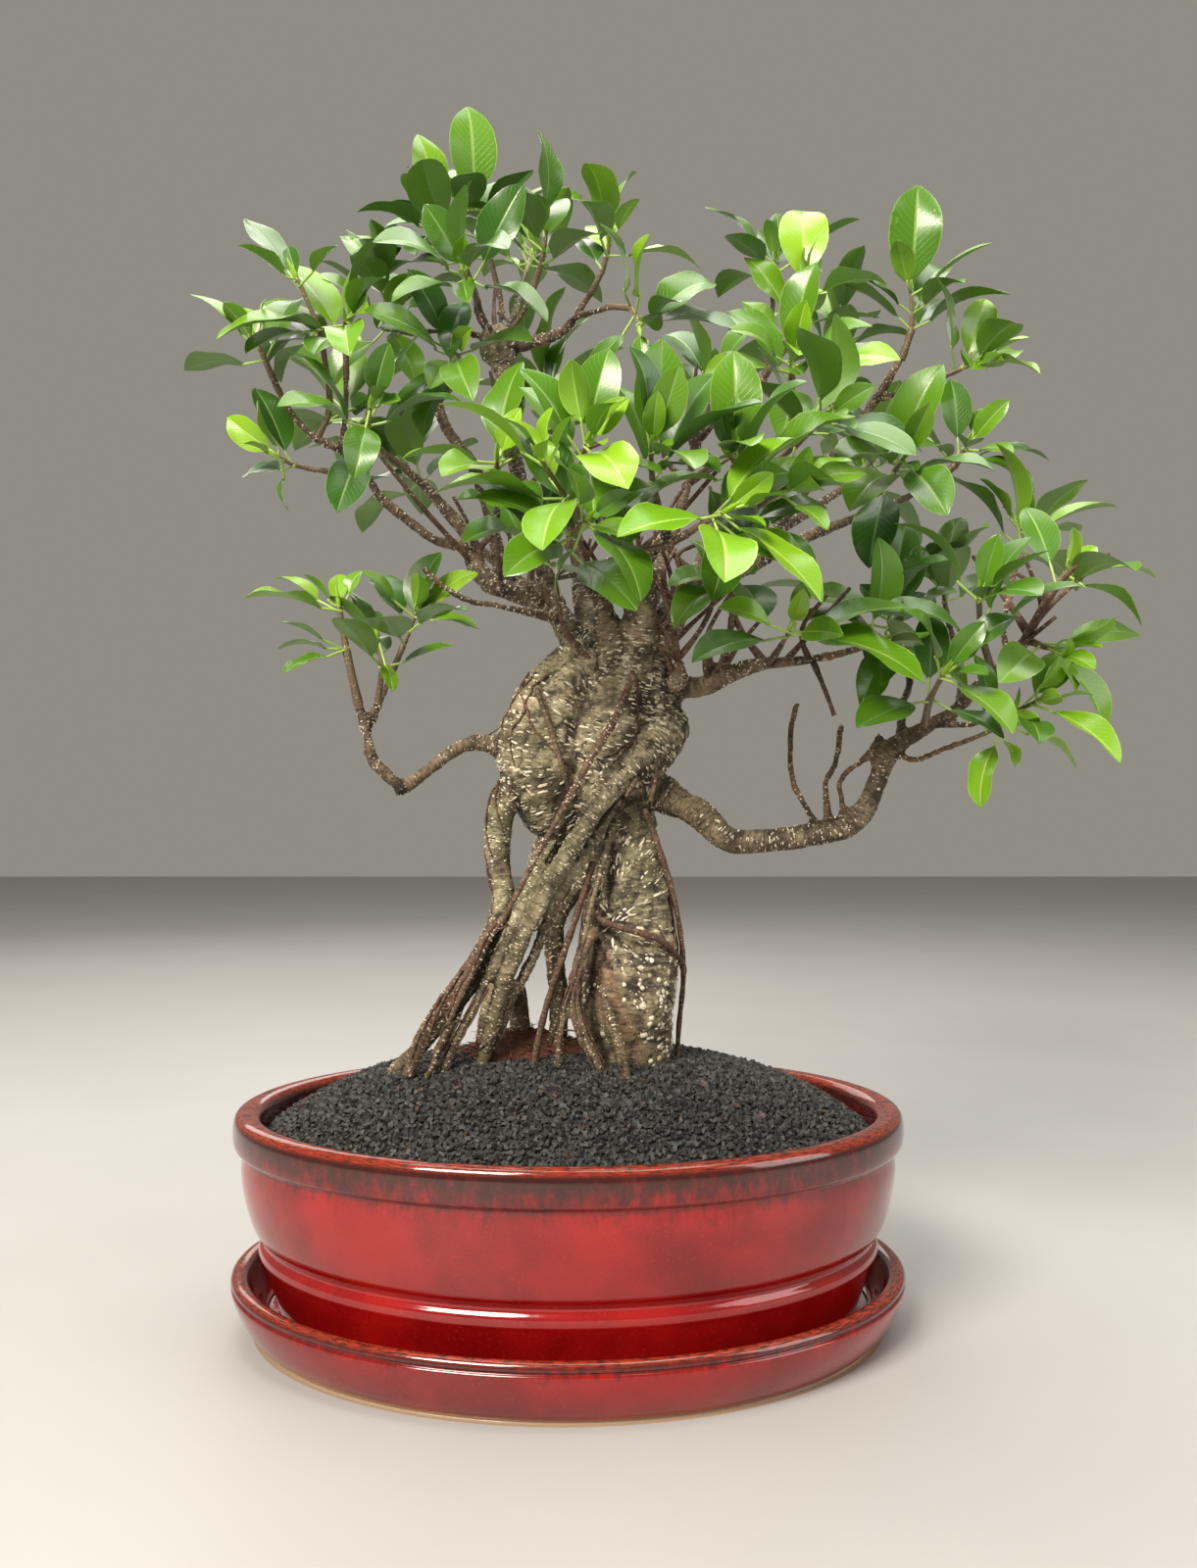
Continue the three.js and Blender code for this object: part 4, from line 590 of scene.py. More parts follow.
LIMBS = {
    "left_low": [[-20, -2, 259, 9], [-30, -5, 259, 5.5], [-42, -8, 261, 3.5], [-53, -12, 256, 3],
                 [-64, -16, 247, 3], [-72, -19, 241, 3.5], [-77, -20, 238, 3]],
    "left_low_a": [[-74, -20, 240, 3], [-81, -23, 247, 3], [-86, -25, 253, 3], [-88, -27, 264, 2.5],
                   [-91, -30, 277, 2]],
    "left_low_b": [[-88, -26, 261, 2], [-86, -25, 271, 2], [-83, -26, 279, 1.5]],
    "left_low_c": [[-86, -25, 268, 2], [-83, -17, 280, 1.5], [-78, -14, 294, 1.5]],
    "right_low": [[22, 10, 244, 13.5], [38, 4, 240, 10], [49, -2, 234, 7.5], [60, -8, 228, 7],
                  [72, -13, 217, 6], [89, -17, 217, 5.5], [105, -19, 219, 5], [121, -21, 222, 5],
                  [130, -23, 230, 5], [135, -25, 242, 4.5], [138, -27, 251, 4.5], [143, -29, 259, 4.5],
                  [155, -31, 266, 3.5], [167, -33, 273, 3], [175, -35, 282, 3], [183, -37, 288, 2.5],
                  [190, -39, 295, 2.5], [195, -41, 303, 2.5], [199, -43, 311, 2], [203, -45, 319, 2]],
    "right_low_up": [[145, -28, 260, 3], [148, -20, 277, 2], [152, -16, 288, 2], [148, -12, 303, 2]],
    "right_low_shoot": [[158, -31, 267, 2], [172, -40, 267, 1.5], [183, -48, 270, 1]],
    "right_low_hang": [[141, -28, 255, 2], [150, -34, 252, 1.5], [160, -40, 256, 1], [170, -46, 260, 1]],
    "right_low_tall": [[189, -38, 293, 2], [189, -30, 310, 1.5], [195, -22, 326, 1.5],
                       [200, -16, 342, 1.5]],
    "right_low_inner": [[169, -33, 275, 2], [174, -20, 290, 2], [175, -8, 304, 2], [174, 0, 317, 1.5]],
    "cut_a": [[114, -19, 220, 2], [109, -19, 226, 1.5], [102, -20, 237, 1.5], [99, -20, 245, 1.5],
              [98, -22, 264, 1.5], [101, -22, 278, 1]],
    "cut_b": [[116, -19, 220, 2.5], [115, -17, 231, 2], [115, -16, 244, 1.5], [119, -16, 251, 1.5],
              [122, -14, 269, 1.5]],
    "cut_c": [[121, -20, 222, 2], [121, -21, 233, 1.5], [120, -23, 244, 1.5], [131, -25, 254, 1.5],
              [137, -26, 264, 1.5]],
    "right_mid": [[33, 2, 284, 10], [52, -4, 286, 5], [63, -10, 287, 4.5], [77, -16, 293, 3.5],
                  [87, -22, 295, 3], [97, -28, 295, 2.5], [110, -34, 296, 2], [123, -38, 299, 1.5]],
    "right_mid_cut": [[63, -10, 288, 2], [64, -8, 301, 1.5], [64, -6, 313, 1.5]],
    "right_mid_up": [[67, -12, 289, 2], [72, -14, 308, 2], [73, -16, 321, 1.5]],
    "right_mid_front": [[88, -22, 295, 1.5], [89, -40, 297, 1.5], [90, -54, 300, 1]],
    "right_mid_hang": [[106, -32, 295, 1.5], [111, -34, 282, 1], [115, -34, 271, 1]],
    "knot": [[49, -6, 287, 6], [50, -10, 293, 3], [49, -12, 298, 2.5]],
    "left_limb": [[25, 6, 288, 12.5], [14, 6, 299, 8.5], [7, 6, 305, 7.5], [0, 6, 312, 6.5],
                  [-6, 8, 322, 5.5], [-19, 10, 330, 5], [-30, 12, 334, 5], [-39, 12, 338, 5],
                  [-45, 12, 347, 4.5], [-47, 12, 356, 3.5]],
    "left_thin_cut": [[-7, 2, 319, 2.5], [-22, -6, 321, 2], [-35, -10, 323, 1.5], [-44, -13, 324, 1.5],
                      [-56, -18, 330, 1.5], [-65, -22, 338, 1]],
    "left_a": [[-47, 12, 355, 3.5], [-52, 16, 365, 3], [-59, 20, 374, 2.5], [-71, 26, 387, 2.5],
               [-87, 32, 401, 2], [-98, 36, 410, 2]],
    "left_b": [[-45, 10, 354, 3.5], [-61, 6, 355, 2.5], [-72, 2, 362, 2.5], [-86, -2, 373, 2.5],
               [-91, -5, 381, 2], [-97, -7, 387, 2], [-104, -9, 393, 2], [-113, -13, 397, 2],
               [-121, -17, 404, 1.5], [-127, -21, 414, 1.5], [-130, -23, 421, 1.5]],
    "left_b_up": [[-103, -9, 392, 2], [-102, -6, 404, 1.5], [-102, -3, 419, 1.5], [-102, -2, 430, 1.5]],
    "left_b_low": [[-94, -6, 385, 1.5], [-106, -10, 383, 1.5], [-116, -14, 383, 1]],
    "left_c": [[-30, 14, 333, 4], [-35, 20, 355, 3.5], [-39, 24, 374, 3.5], [-46, 26, 394, 3.5],
               [-53, 28, 405, 3], [-60, 30, 415, 3], [-66, 30, 430, 3], [-72, 32, 441, 2.5],
               [-81, 34, 456, 2.5], [-86, 34, 465, 2]],
    "left_c_side": [[-65, 30, 427, 2], [-55, 16, 431, 1.5], [-51, 2, 434, 1.5]],
    "apex_stem": [[-7, 10, 323, 5.5], [-14, 22, 350, 4], [-22, 30, 376, 4], [-27, 36, 401, 4],
                  [-31, 38, 421, 4], [-32, 38, 436, 4], [-33, 38, 448, 6], [-35, 38, 456, 10.5],
                  [-36, 38, 463, 9], [-37, 38, 468, 4.5]],
    "apex_l": [[-40, 36, 462, 2], [-45, 32, 470, 1.5], [-46, 28, 479, 1.5]],
    "apex_c": [[-36, 38, 464, 2], [-34, 42, 476, 1.5], [-36, 44, 487, 1.5]],
    "apex_r": [[-31, 34, 462, 2], [-23, 26, 469, 1.5], [-17, 20, 480, 1.5]],
    "apex_front": [[-36, 34, 460, 2], [-40, 10, 460, 1.5], [-42, -4, 463, 1.5]],
    "apex_back": [[-35, 42, 463, 2], [-30, 64, 483, 2], [-28, 78, 500, 1.5]],
    "apex_flat": [[-38, 39, 463, 2], [-65, 46, 468, 1.5], [-80, 50, 469, 1.5]],
    "apex_arm": [[-26, 36, 457, 4], [-5, 32, 462, 2.5], [4, 28, 471, 2], [11, 24, 480, 1.5]],
    "apex_arm_low": [[2, 28, 468, 2], [12, 14, 465, 1.5], [19, 4, 463, 1.5]],
    "upright": [[29, 2, 288, 11.5], [31, -4, 305, 9], [33, -12, 321, 7.5], [33, -18, 335, 5.5],
                [31, -22, 346, 4]],
    "upright_l": [[31, -20, 341, 3.5], [22, -34, 350, 2], [14, -48, 355, 1.5], [10, -60, 359, 1.5],
                  [8, -66, 363, 1.5]],
    "upright_r": [[32, -18, 337, 3.5], [38, -28, 344, 3], [42, -38, 348, 2.5], [40, -48, 353, 2],
                  [38, -54, 357, 1.5]],
    "upright_far": [[39, -28, 344, 2.5], [52, -38, 349, 2], [63, -48, 355, 1.5], [69, -56, 359, 1.5]],
    "right_limb": [[34, 6, 288, 10.5], [41, 8, 308, 7.5], [48, 10, 325, 6], [57, 12, 335, 5.5],
                   [68, 14, 340, 5], [81, 16, 344, 4], [94, 18, 350, 3.5]],
    "right_a": [[66, 12, 338, 3.5], [74, 8, 356, 2.5], [83, 4, 369, 2.5], [91, 0, 390, 2],
                [98, -4, 407, 2], [100, -6, 418, 2]],
    "right_b": [[92, 18, 349, 3], [116, 22, 362, 3], [140, 26, 372, 2.5], [165, 30, 383, 2],
                [182, 32, 394, 2]],
    "right_c": [[83, 18, 344, 3], [101, 40, 369, 3], [122, 54, 397, 2.5], [143, 62, 424, 2.5],
                [158, 64, 445, 2.5], [168, 60, 462, 2]],
    "right_c_side": [[155, 64, 440, 2], [172, 58, 444, 1.5], [186, 52, 448, 1.5]],
    "right_d": [[57, 12, 335, 4], [66, 30, 359, 3.5], [77, 42, 388, 3], [87, 48, 419, 2.5],
                [96, 48, 447, 2], [99, 46, 470, 2], [100, 44, 486, 1.5]],
    "back_a": [[11, 16, 304, 9], [7, 38, 339, 6.5], [0, 62, 374, 4], [-7, 80, 406, 3], [-12, 88, 427, 2]],
    "crotch_rise": [[20, -4, 290, 8.5], [18, -8, 304, 6.5], [16, -12, 318, 5], [14, -14, 330, 3.5],
                    [10, -14, 341, 2.5]],
    "crotch_right": [[38, 4, 292, 7.5], [45, -2, 310, 5.5], [52, -6, 321, 3.5], [59, -6, 329, 2.5]],
    "back_b": [[32, 14, 305, 7], [41, 40, 344, 5], [54, 70, 381, 3.5], [63, 90, 414, 2.5],
               [69, 98, 437, 2]],
    "back_c": [[-12, 12, 326, 4], [-30, 36, 346, 3], [-55, 62, 371, 2.5], [-74, 80, 395, 2]],
    "back_d": [[55, 14, 332, 4], [82, 46, 357, 3], [116, 76, 382, 3], [143, 94, 402, 2]],
    "front_shoot": [[-13, 4, 328, 2], [-21, -12, 332, 2], [-10, -36, 329, 1.5], [9, -56, 329, 1.5],
                    [25, -72, 333, 1.5], [40, -86, 333, 1], [50, -96, 337, 1]],
    "left_front": [[-32, 8, 332, 2], [-32, -10, 344, 1.5], [-31, -28, 357, 1.5], [-30, -40, 367, 1.5]],
}
THREADS = {
    "rootlet_a": [[38, -18, 256, 1.0], [39, -24, 246, 1.0], [36, -26, 234, 1.0]],
    "rootlet_b": [[31, -20, 246, 1.0], [29, -27, 242, 1.0], [25, -31, 236, 0.5]],
    "face_thread": [[-14, -22, 284, 1.2], [-7, -24, 264, 1.2], [-2, -24, 247, 1.1], [1, -20, 237, 1.0]],
    "side_thread": [[34, -14, 231, 1.3], [41, -13, 212, 1.3], [47, -8, 193, 1.2], [51, -6, 171, 1.2],
                    [52, -4, 153, 1.2], [50, -2, 130, 1.2], [49, 0, 102, 1.2]],
}
ROUTE_STEP = 3
THINNEST = 0.4
SEED_STEP = 3.7


def smooth_route(route):
    """Centres and radii about every 3 mm along a route, in mm."""
    rows = np.array(route, float)
    step = np.linalg.norm(np.diff(rows[:, :3], axis=0), axis=1).mean()
    fine = curve_through(rows, max(2, round(step / ROUTE_STEP)))
    return fine[:, :3], np.maximum(fine[:, 3], THINNEST)


stems = []
for kind, group in (("root", ROOTS), ("limb", LIMBS), ("thread", THREADS)):
    for name, route in group.items():
        centres, radii = smooth_route(route)
        stems.append({"kind": kind, "name": name, "centres": centres, "radii": radii,
                      "seed": len(stems) * SEED_STEP})

# One closed skin is drawn over all but the thinnest roots and limbs
SKIN_GRAIN = 1.62
SKIN_LEAST_RADIUS = 1.8
OWN_BAR_BELOW = 1.7
LATTICE = ("great_root", "grey_root", "strand_high", "front_thread")
LATTICE_TOP = 232
LATTICE_SLIMNESS = 0.86


def in_skin(stem):
    return stem["kind"] in ("root", "limb") and max(stem["radii"]) >= OWN_BAR_BELOW


def skin_bar(stem):
    """A stem's bar under the skin, slimmer where the roots cross as a lattice, so that gaps stay open."""
    radii = np.maximum(stem["radii"] * 0.97 + 0.2, SKIN_LEAST_RADIUS)
    if stem["name"] in LATTICE:
        radii = np.where(stem["centres"][:, 2] < LATTICE_TOP, radii * LATTICE_SLIMNESS, radii)
    sides = int(min(30, max(8, max(radii) * 2.4)))
    return round_bar(stem["centres"] * MM, radii * MM, sides)


points, faces = [], []
for stem in filter(in_skin, stems):
    join(points, faces, *skin_bar(stem))
union = draft("union", points, faces)
skin = worked(union, [("REMESH", {"mode": "VOXEL", "voxel_size": SKIN_GRAIN * MM}),
                      ("SMOOTH", {"factor": 0.6, "iterations": 3})])
bpy.data.objects.remove(union)

# Every point of the skin knows the stem it is on, how far along it is and how thick it is there
samples = []
for number, stem in enumerate(stems):
    run = np.concatenate([[0], np.cumsum(np.linalg.norm(np.diff(stem["centres"], axis=0), axis=1))])
    ways = np.gradient(stem["centres"], axis=0)
    ways /= np.linalg.norm(ways, axis=1)[:, None]
    samples.extend((*centre, *way, radius, along, number)
                   for centre, way, radius, along in zip(stem["centres"], ways, stem["radii"], run))
samples = np.array(samples)


def nearest_stems(places, at_once=4000):
    """For each place in mm: its stem's sample, and how far off the next stem's surface is."""
    found, beside = [], []
    for first in range(0, len(places), at_once):
        some = places[first:first + at_once]
        away = (some**2).sum(1)[:, None] + (samples[:, :3]**2).sum(1) - 2 * some @ samples[:, :3].T
        gap = np.sqrt(np.maximum(away, 0)) - samples[:, 6]
        own = gap.argmin(axis=1)
        gap[samples[own, 8][:, None] == samples[:, 8]] = np.inf
        found.append(own)
        beside.append(gap.min(axis=1))
    return np.concatenate(found), np.concatenate(beside)


# The bark swells and creases, most on the thick roots, and wrinkles fan out over the right leg
SWELLS = (1.5, 0.8)
SWELL_SHARE = 0.8
RING_HEIGHT = 0.5
FINE_HEIGHT = 0.2
FLUTE_HEIGHT = 0.6
FOLD_WIDTH = 0.10
FOLD_SHADE = 0.6
CRACK_WIDTH = 0.09
CRACK_SHADE = 0.75
CROTCH = Vector((26, 0, 292))
CROTCH_REACH = 42
CROTCH_SWELL = 6
WRINKLED = Vector((11, -27, 181))
WRINKLES_END = 48
WRINKLES_REACH = 30
WRINKLE_DEPTH = 0.8
WRINKLES_AROUND = 21
CREASE_DEPTH = 0.75
SEAM_DEPTH = 0.7
SEAM_WIDTH = 0.9
SEAM_ON_THICK = 0.35
SMOOTH_BELOW = 9
THICK_FROM = 12
TAN_LINE = (Vector((10, -18, 172)), Vector((27, -29, 124)))
TAN_WIDTH = 8.0
RUDDY_KINDS = {"rootlet": 0.65, "shoot": 0.5, "thread": 0.15, "limb": 0.15, "root": 0.15}
RUDDY = {"front_thread": 0.75, "dark_root": 0.8, "left_leg_twin": 0.6, "strand_thin": 0.6, "wrap_root": 0.55,
         "side_thread": 0.4, "middle_root": 0.35, "slender_root": 0.25, "foot_root": 0.35, "fold_root": 0.3}


def near_line(place, line, width):
    one, other = line
    way = other - one
    share = min(1.0, max(0.0, (place - one).dot(way) / way.length_squared))
    return math.exp(-((place - one - way * share).length / width) ** 2)


def relief(place, sample):
    """How far the bark stands out at a place, in mm, and how deep in a crease the place is, which is painted
    as shade.
    """
    centre, way = Vector(sample[:3]), Vector(sample[3:6])
    radius, along, stem = sample[6], sample[7], stems[int(sample[8])]
    run = along + (place - centre).dot(way)
    out = (place - centre) / max(radius, 1.0)
    size = min(1.0, radius / SMOOTH_BELOW)
    seed = stem["seed"]
    swell = noise.noise(place * 0.055) * SWELLS[0] + noise.noise(place * 0.14) * SWELLS[1]
    ringed = noise.noise(out * 1.1 + Vector((run * 0.33, seed, 0)))
    fine = noise.noise(out * 2.2 + Vector((run * 0.8, 0, seed)))
    flutes = noise.noise(out * 2.6 + Vector((run * 0.02, seed, 5)))
    whole = size * (swell * SWELL_SHARE + ringed * RING_HEIGHT + fine * FINE_HEIGHT + flutes * FLUTE_HEIGHT)
    folds = noise.noise(out * 0.8 + Vector((run * 0.20, seed, 3)))
    cracks = noise.noise(out * 1.9 + Vector((run * 0.04, seed, 9)))
    crease = math.exp(-(folds / FOLD_WIDTH) ** 2) * FOLD_SHADE
    crease += math.exp(-(cracks / CRACK_WIDTH) ** 2) * CRACK_SHADE
    crotch = math.exp(-((place - CROTCH).length / CROTCH_REACH) ** 2)
    whole += crotch * size * max(0.0, noise.noise(place * 0.13 + Vector((7, 0, 0)))) * CROTCH_SWELL
    away = (place - WRINKLED).length
    if stem["name"] == "right_leg" and away < WRINKLES_END:
        turn = math.atan2(place.z - WRINKLED.z, place.x - WRINKLED.x)
        wrinkle = math.sin(turn * WRINKLES_AROUND + noise.noise(place * 0.1) * 3)
        wrinkle *= math.exp(-(away / WRINKLES_REACH) ** 2)
        whole += WRINKLE_DEPTH * wrinkle * min(1.0, away / 14)
        crease += max(0.0, -wrinkle) * 0.9
    crease *= size
    return whole - CREASE_DEPTH * crease, min(1.0, crease)


points = [v.co / MM for v in skin.vertices]
normals = [v.normal.copy() for v in skin.vertices]
noted = {"thick": [], "young": [], "ruddy": [], "tan": [], "crease": [], "run": [], "hollow_shade": []}
moved = []
found, beside = nearest_stems(np.array([tuple(place) for place in points]))
for place, normal, own, other in zip(points, normals, found, beside):
    sample = samples[own]
    stem = stems[int(sample[8])]
    depth, crease = relief(place, sample)
    # Where another stem's surface is near, the skin sinks into a seam, noted as crease for painted shade
    seam = math.exp(-(max(0.0, other) / SEAM_WIDTH) ** 2)
    seam *= 1.0 if sample[6] < SMOOTH_BELOW else SEAM_ON_THICK
    moved.append((place + normal * (depth - SEAM_DEPTH * seam)) * MM)
    noted["thick"].append(min(1.0, sample[6] / THICK_FROM))
    noted["young"].append(1.0 if stem["kind"] == "limb" else 0.0)
    noted["ruddy"].append(RUDDY.get(stem["name"], 0.0))
    noted["tan"].append(near_line(place, TAN_LINE, TAN_WIDTH))
    noted["crease"].append(min(1.0, crease + seam))
    noted["run"].append(sample[7] + (place - Vector(sample[:3])).dot(Vector(sample[3:6])))
faces = [tuple(polygon.vertices) for polygon in skin.polygons]
bark_shape = BVHTree.FromPolygons([Vector(p) for p in moved], faces)

# A place is hollow where rays that leave it upwards and sideways soon meet other wood; there the bark is
# painted darker as shade
RAY_START = 0.6
RAY_LENGTH = 35
RAY_LEANS = ((0, 0, 1), (0.7, 0, 0.5), (-0.7, 0, 0.5), (0, 0.7, 0.5), (0, -0.7, 0.5))


def hollow_shade(place, normal):
    start = place + normal * (RAY_START * MM)
    ways = [(normal + Vector(lean) * 0.8).normalized() for lean in RAY_LEANS]
    return sum(bark_shape.ray_cast(start, way, RAY_LENGTH * MM)[0] is not None for way in ways) / len(ways)


noted["hollow_shade"] = [hollow_shade(place, normal) for place, normal in zip(moved, normals)]

# Thin rootlets lie pressed on the thick roots
ROOTLETS = 70
ROOTLET_STEPS = (8, 18)
ROOTLET_RADIUS = (0.5, 0.95)
ROOTLET_TIP_RADIUS = 0.3


def rootlet_route(host, rng):
    """Places along a host root, on its bark, that drift round it."""
    steps = len(host["centres"])
    count = int(rng.integers(*ROOTLET_STEPS))
    first = int(rng.integers(2, steps - count - 1)) if steps > count + 4 else 1
    angle = rng.uniform(0, 2 * math.pi)
    drift = rng.normal(0, 0.09)
    route = []
    for k in range(first, min(first + count, steps - 1)):
        centre = Vector(host["centres"][k])
        way = Vector(host["centres"][k + 1] - host["centres"][k]).normalized()
        side = (Vector((0, 1, 0)) - way * way.y).normalized()
        out = side * math.cos(angle) + way.cross(side) * math.sin(angle)
        angle += drift + rng.normal(0, 0.05)
        hit = bark_shape.ray_cast((centre + out * (host["radii"][k] + 8)) * MM, -out)[0]
        if hit is not None and (hit / MM - centre).length < host["radii"][k] + 7:
            route.append(hit / MM + out * (0.3 + 0.5 * rng.random()))
    return route


rng = np.random.default_rng(41)
thick_roots = [stem for stem in stems if stem["kind"] == "root" and len(stem["centres"]) > 20]
for number in range(ROOTLETS):
    route = rootlet_route(thick_roots[rng.integers(len(thick_roots))], rng)
    if len(route) > 4:
        radii = np.linspace(rng.uniform(*ROOTLET_RADIUS), ROOTLET_TIP_RADIUS, len(route))
        stems.append({"kind": "rootlet", "name": f"rootlet_{number}", "centres": np.array(route),
                      "radii": radii})

# Bare shoots stand up from the limbs inside the crown
SHOOTS = 80
SHOOTS_Z = (268, 475)
SHOOT_LENGTH = (16, 44)
SHOOT_RADIUS = (1.2, 2.0)
SHOOT_TIP_RADIUS = 0.8
crown_limbs = [stem for stem in stems if stem["kind"] == "limb" and max(stem["radii"]) > 4]
for number in range(SHOOTS):
    host = crown_limbs[rng.integers(len(crown_limbs))]
    starts = [k for k, centre in enumerate(host["centres"]) if SHOOTS_Z[0] < centre[2] < SHOOTS_Z[1]]
    if not starts:
        continue
    start = host["centres"][starts[rng.integers(len(starts))]]
    way = np.array([rng.normal(0, 0.55), rng.normal(-0.1, 0.5), 1.0])
    sway = rng.normal(0, 6, 3) * (1, 1, 0.3)
    length = rng.uniform(*SHOOT_LENGTH)
    route = curve_through([start + way * length * s + sway * math.sin(3 * s) for s in (0, 0.3, 0.6, 1)], 3)
    stems.append({"kind": "shoot", "name": f"shoot_{number}", "centres": route,
                  "radii": np.linspace(rng.uniform(*SHOOT_RADIUS), SHOOT_TIP_RADIUS, len(route))})

# The limbs too thin for the skin, the threads, the rootlets and the shoots are bars of their own
BAR_SIDES = 8
# The bars' hollow number of 0.2 paints a little shade on them
BAR_NOTES = {"thick": 0.12, "young": 1.0, "tan": 0.0, "crease": 0.0, "hollow_shade": 0.2}
points = list(moved)
for stem in stems:
    if in_skin(stem):
        continue
    count = len(stem["centres"])
    radii = stem["radii"] * (1 + 0.10 * np.sin(np.arange(count) * 1.7))
    more, sides = round_bar(stem["centres"] * MM, radii * MM, BAR_SIDES)
    join(points, faces, [Vector(p) for p in more], sides)
    for key, value in BAR_NOTES.items():
        noted[key].extend([value] * len(more))
    noted["ruddy"].extend([RUDDY.get(stem["name"], RUDDY_KINDS[stem["kind"]])] * len(more))
    noted["run"].extend(np.repeat(np.arange(count) * float(ROUTE_STEP), BAR_SIDES))

# The bark's colours
BARK_GREYS = (0.052, 0.040, 0.021), (0.430, 0.355, 0.215)
BARK_OLIVE = (0.118, 0.114, 0.048)
BRANCH_BROWNS = (0.042, 0.023, 0.014), (0.160, 0.092, 0.054)
RUDDY_BROWNS = (0.045, 0.015, 0.009), (0.165, 0.062, 0.034)
LOW_BROWNS = (0.040, 0.020, 0.010), (0.210, 0.135, 0.074)
LOW_BARK_Z = (125.0, 215.0)
TAN_BARK = (0.270, 0.165, 0.088)
DEEP_SHADE = (0.014, 0.010, 0.006)
MOSS = (0.045, 0.075, 0.014)
CRACK_BROWN = (0.018, 0.013, 0.008)
RING_BROWN = (0.020, 0.015, 0.009)
RING_PALE = (0.34, 0.30, 0.21)
GRIME = (0.030, 0.023, 0.014)
FLECK_PALE = (0.52, 0.45, 0.32)


def fig_bark():
    """Mottled grey and olive bark, brown on young limbs and near the soil, with painted shade in its folds,
    seams and hollows.
    """
    look = Look("fig_bark")
    place = look.place()
    mottle = look.clouds(place, 70.0, 5.0, 0.65)
    fine = look.clouds(place, 520.0, 5.0, 0.7)
    patches = look.clouds(place, 26.0, 3.0)
    x, _, z = look.parts(look.stretched(place, (220.0, 1.0, 220.0)))
    rings = look.clouds(look.vector(look.noted("run") * 0.85, x, z), 1.0, 3.0, 0.6)
    ring_lines = look.rise(rings, 0.52, 0.62)
    plates = look.cells(look.stretched(place, (1.0, 1.0, 0.7)), 230.0, "DISTANCE_TO_EDGE")
    cracks = (1.0 - look.rise(plates + fine * 0.16, 0.10, 0.20)) * look.rise(mottle, 0.45, 0.68) * 0.22
    not_tan = 1.0 - look.noted("tan")
    streaks = look.rise(mottle, 0.36, 0.62)
    olive = look.mix(look.rise(patches, 0.42, 0.60) * 0.6, look.mix(streaks, *BARK_GREYS), BARK_OLIVE)
    branch = look.mix(streaks, *BRANCH_BROWNS)
    colour = look.mix(look.noted("young") * (1.0 - look.noted("thick")) ** 0.8, olive, branch)
    colour = look.mix(look.noted("ruddy"), colour, look.mix(mottle, *RUDDY_BROWNS))
    colour = look.mix(look.rise(look.noted("tan") + mottle * 0.3, 0.45, 0.85), colour, TAN_BARK)
    low = 1.0 - look.rise(look.parts(place)[2] / MM + mottle * 40.0, *LOW_BARK_Z)
    colour = look.mix(low * not_tan * 0.65, colour, look.mix(mottle, *LOW_BROWNS))
    # Painted shade: hollow places are darkened towards a deep shade colour
    shade = look.rise(look.noted("hollow_shade"), 0.12, 0.78)
    colour = look.mix(shade * 0.85, colour, DEEP_SHADE)
    colour = look.mix(shade * look.rise(patches, 0.5, 0.6) * 0.55, colour, MOSS)
    # Painted shade: folds, cracks, wrinkles and seams between stems are darkened towards a deep shade colour
    colour = look.mix(look.rise(look.noted("crease"), 0.15, 0.85) * 0.85, colour, DEEP_SHADE)
    colour = look.mix(cracks * 0.7, colour, CRACK_BROWN)
    colour = look.mix(ring_lines * not_tan * 0.36, colour, RING_BROWN)
    colour = look.mix(look.rise(1.0 - rings, 0.56, 0.66) * 0.22, colour, RING_PALE)
    colour = look.mix(look.rise(fine, 0.45, 0.75) * 0.35, colour, GRIME)
    flecks = look.cells(look.stretched(place, (1.0, 1.0, 1.6)), 380.0)
    marks = (1.0 - look.rise(flecks, 0.16, 0.26)) * look.rise(look.clouds(place, 160.0, 2.0), 0.42, 0.52)
    colour = look.mix(marks * 0.85, colour, FLECK_PALE)
    height = fine * 0.7 + mottle * 0.8 + marks * 0.7 - cracks * 0.6 - ring_lines * 0.6
    return look.surface(Base_Color=colour, Roughness=0.58 + 0.25 * fine,
                        Normal=look.bump(height, 0.0009, 0.85))


add_piece("bark_of_roots_and_limbs", points, faces, fig_bark(), ["trunk_roots_and_limbs"], noted)

# The corky pores
# Raised pale pores lie across every root and limb in broken rows, longest on the thick roots.
# They are part of the bark and stand a few tenths of a millimetre proud of it.
PORE_AREA = (6.5, 12.0)
PORE_HALF_LENGTHS = ((0.42, 0.85), (0.8, 3.1))
PORE_HALF_HEIGHTS = ((0.34, 0.52), (0.42, 0.78))
PORE_LEAN = 0.16
LONG_PORES_FROM = 3
LONGEST_PORES_FROM = 12
PORELESS_BELOW = -0.16
PORES_ON_TAN = 0.2
ROUND_PORES_BELOW = 168
ROUND_PORE_HALF = (0.7, 1.7)
FANNED_PORES_REACH = 46
THINNEST_WITH_PORES = 1.5
PORE_POINTS = ((-1, 0, 0), (-0.55, -1, 0), (0.55, -1, 0), (1, 0, 0), (0.55, 1, 0), (-0.55, 1, 0),
               (-0.45, 0, 1), (0.45, 0, 1))
PORE_FACES = ((0, 1, 6), (1, 2, 7, 6), (2, 3, 7), (3, 4, 7), (4, 5, 6, 7), (5, 0, 6))
CORK_PALES = (0.36, 0.30, 0.195), (0.86, 0.79, 0.62)
CORK_DUST = (0.22, 0.175, 0.11)


def between(thin_range, thick_range, thick, rng):
    """A number drawn from a range for thin stems and from one for thick ones, joined by the thickness."""
    return rng.uniform(*thin_range) * (1 - thick) + rng.uniform(*thick_range) * thick


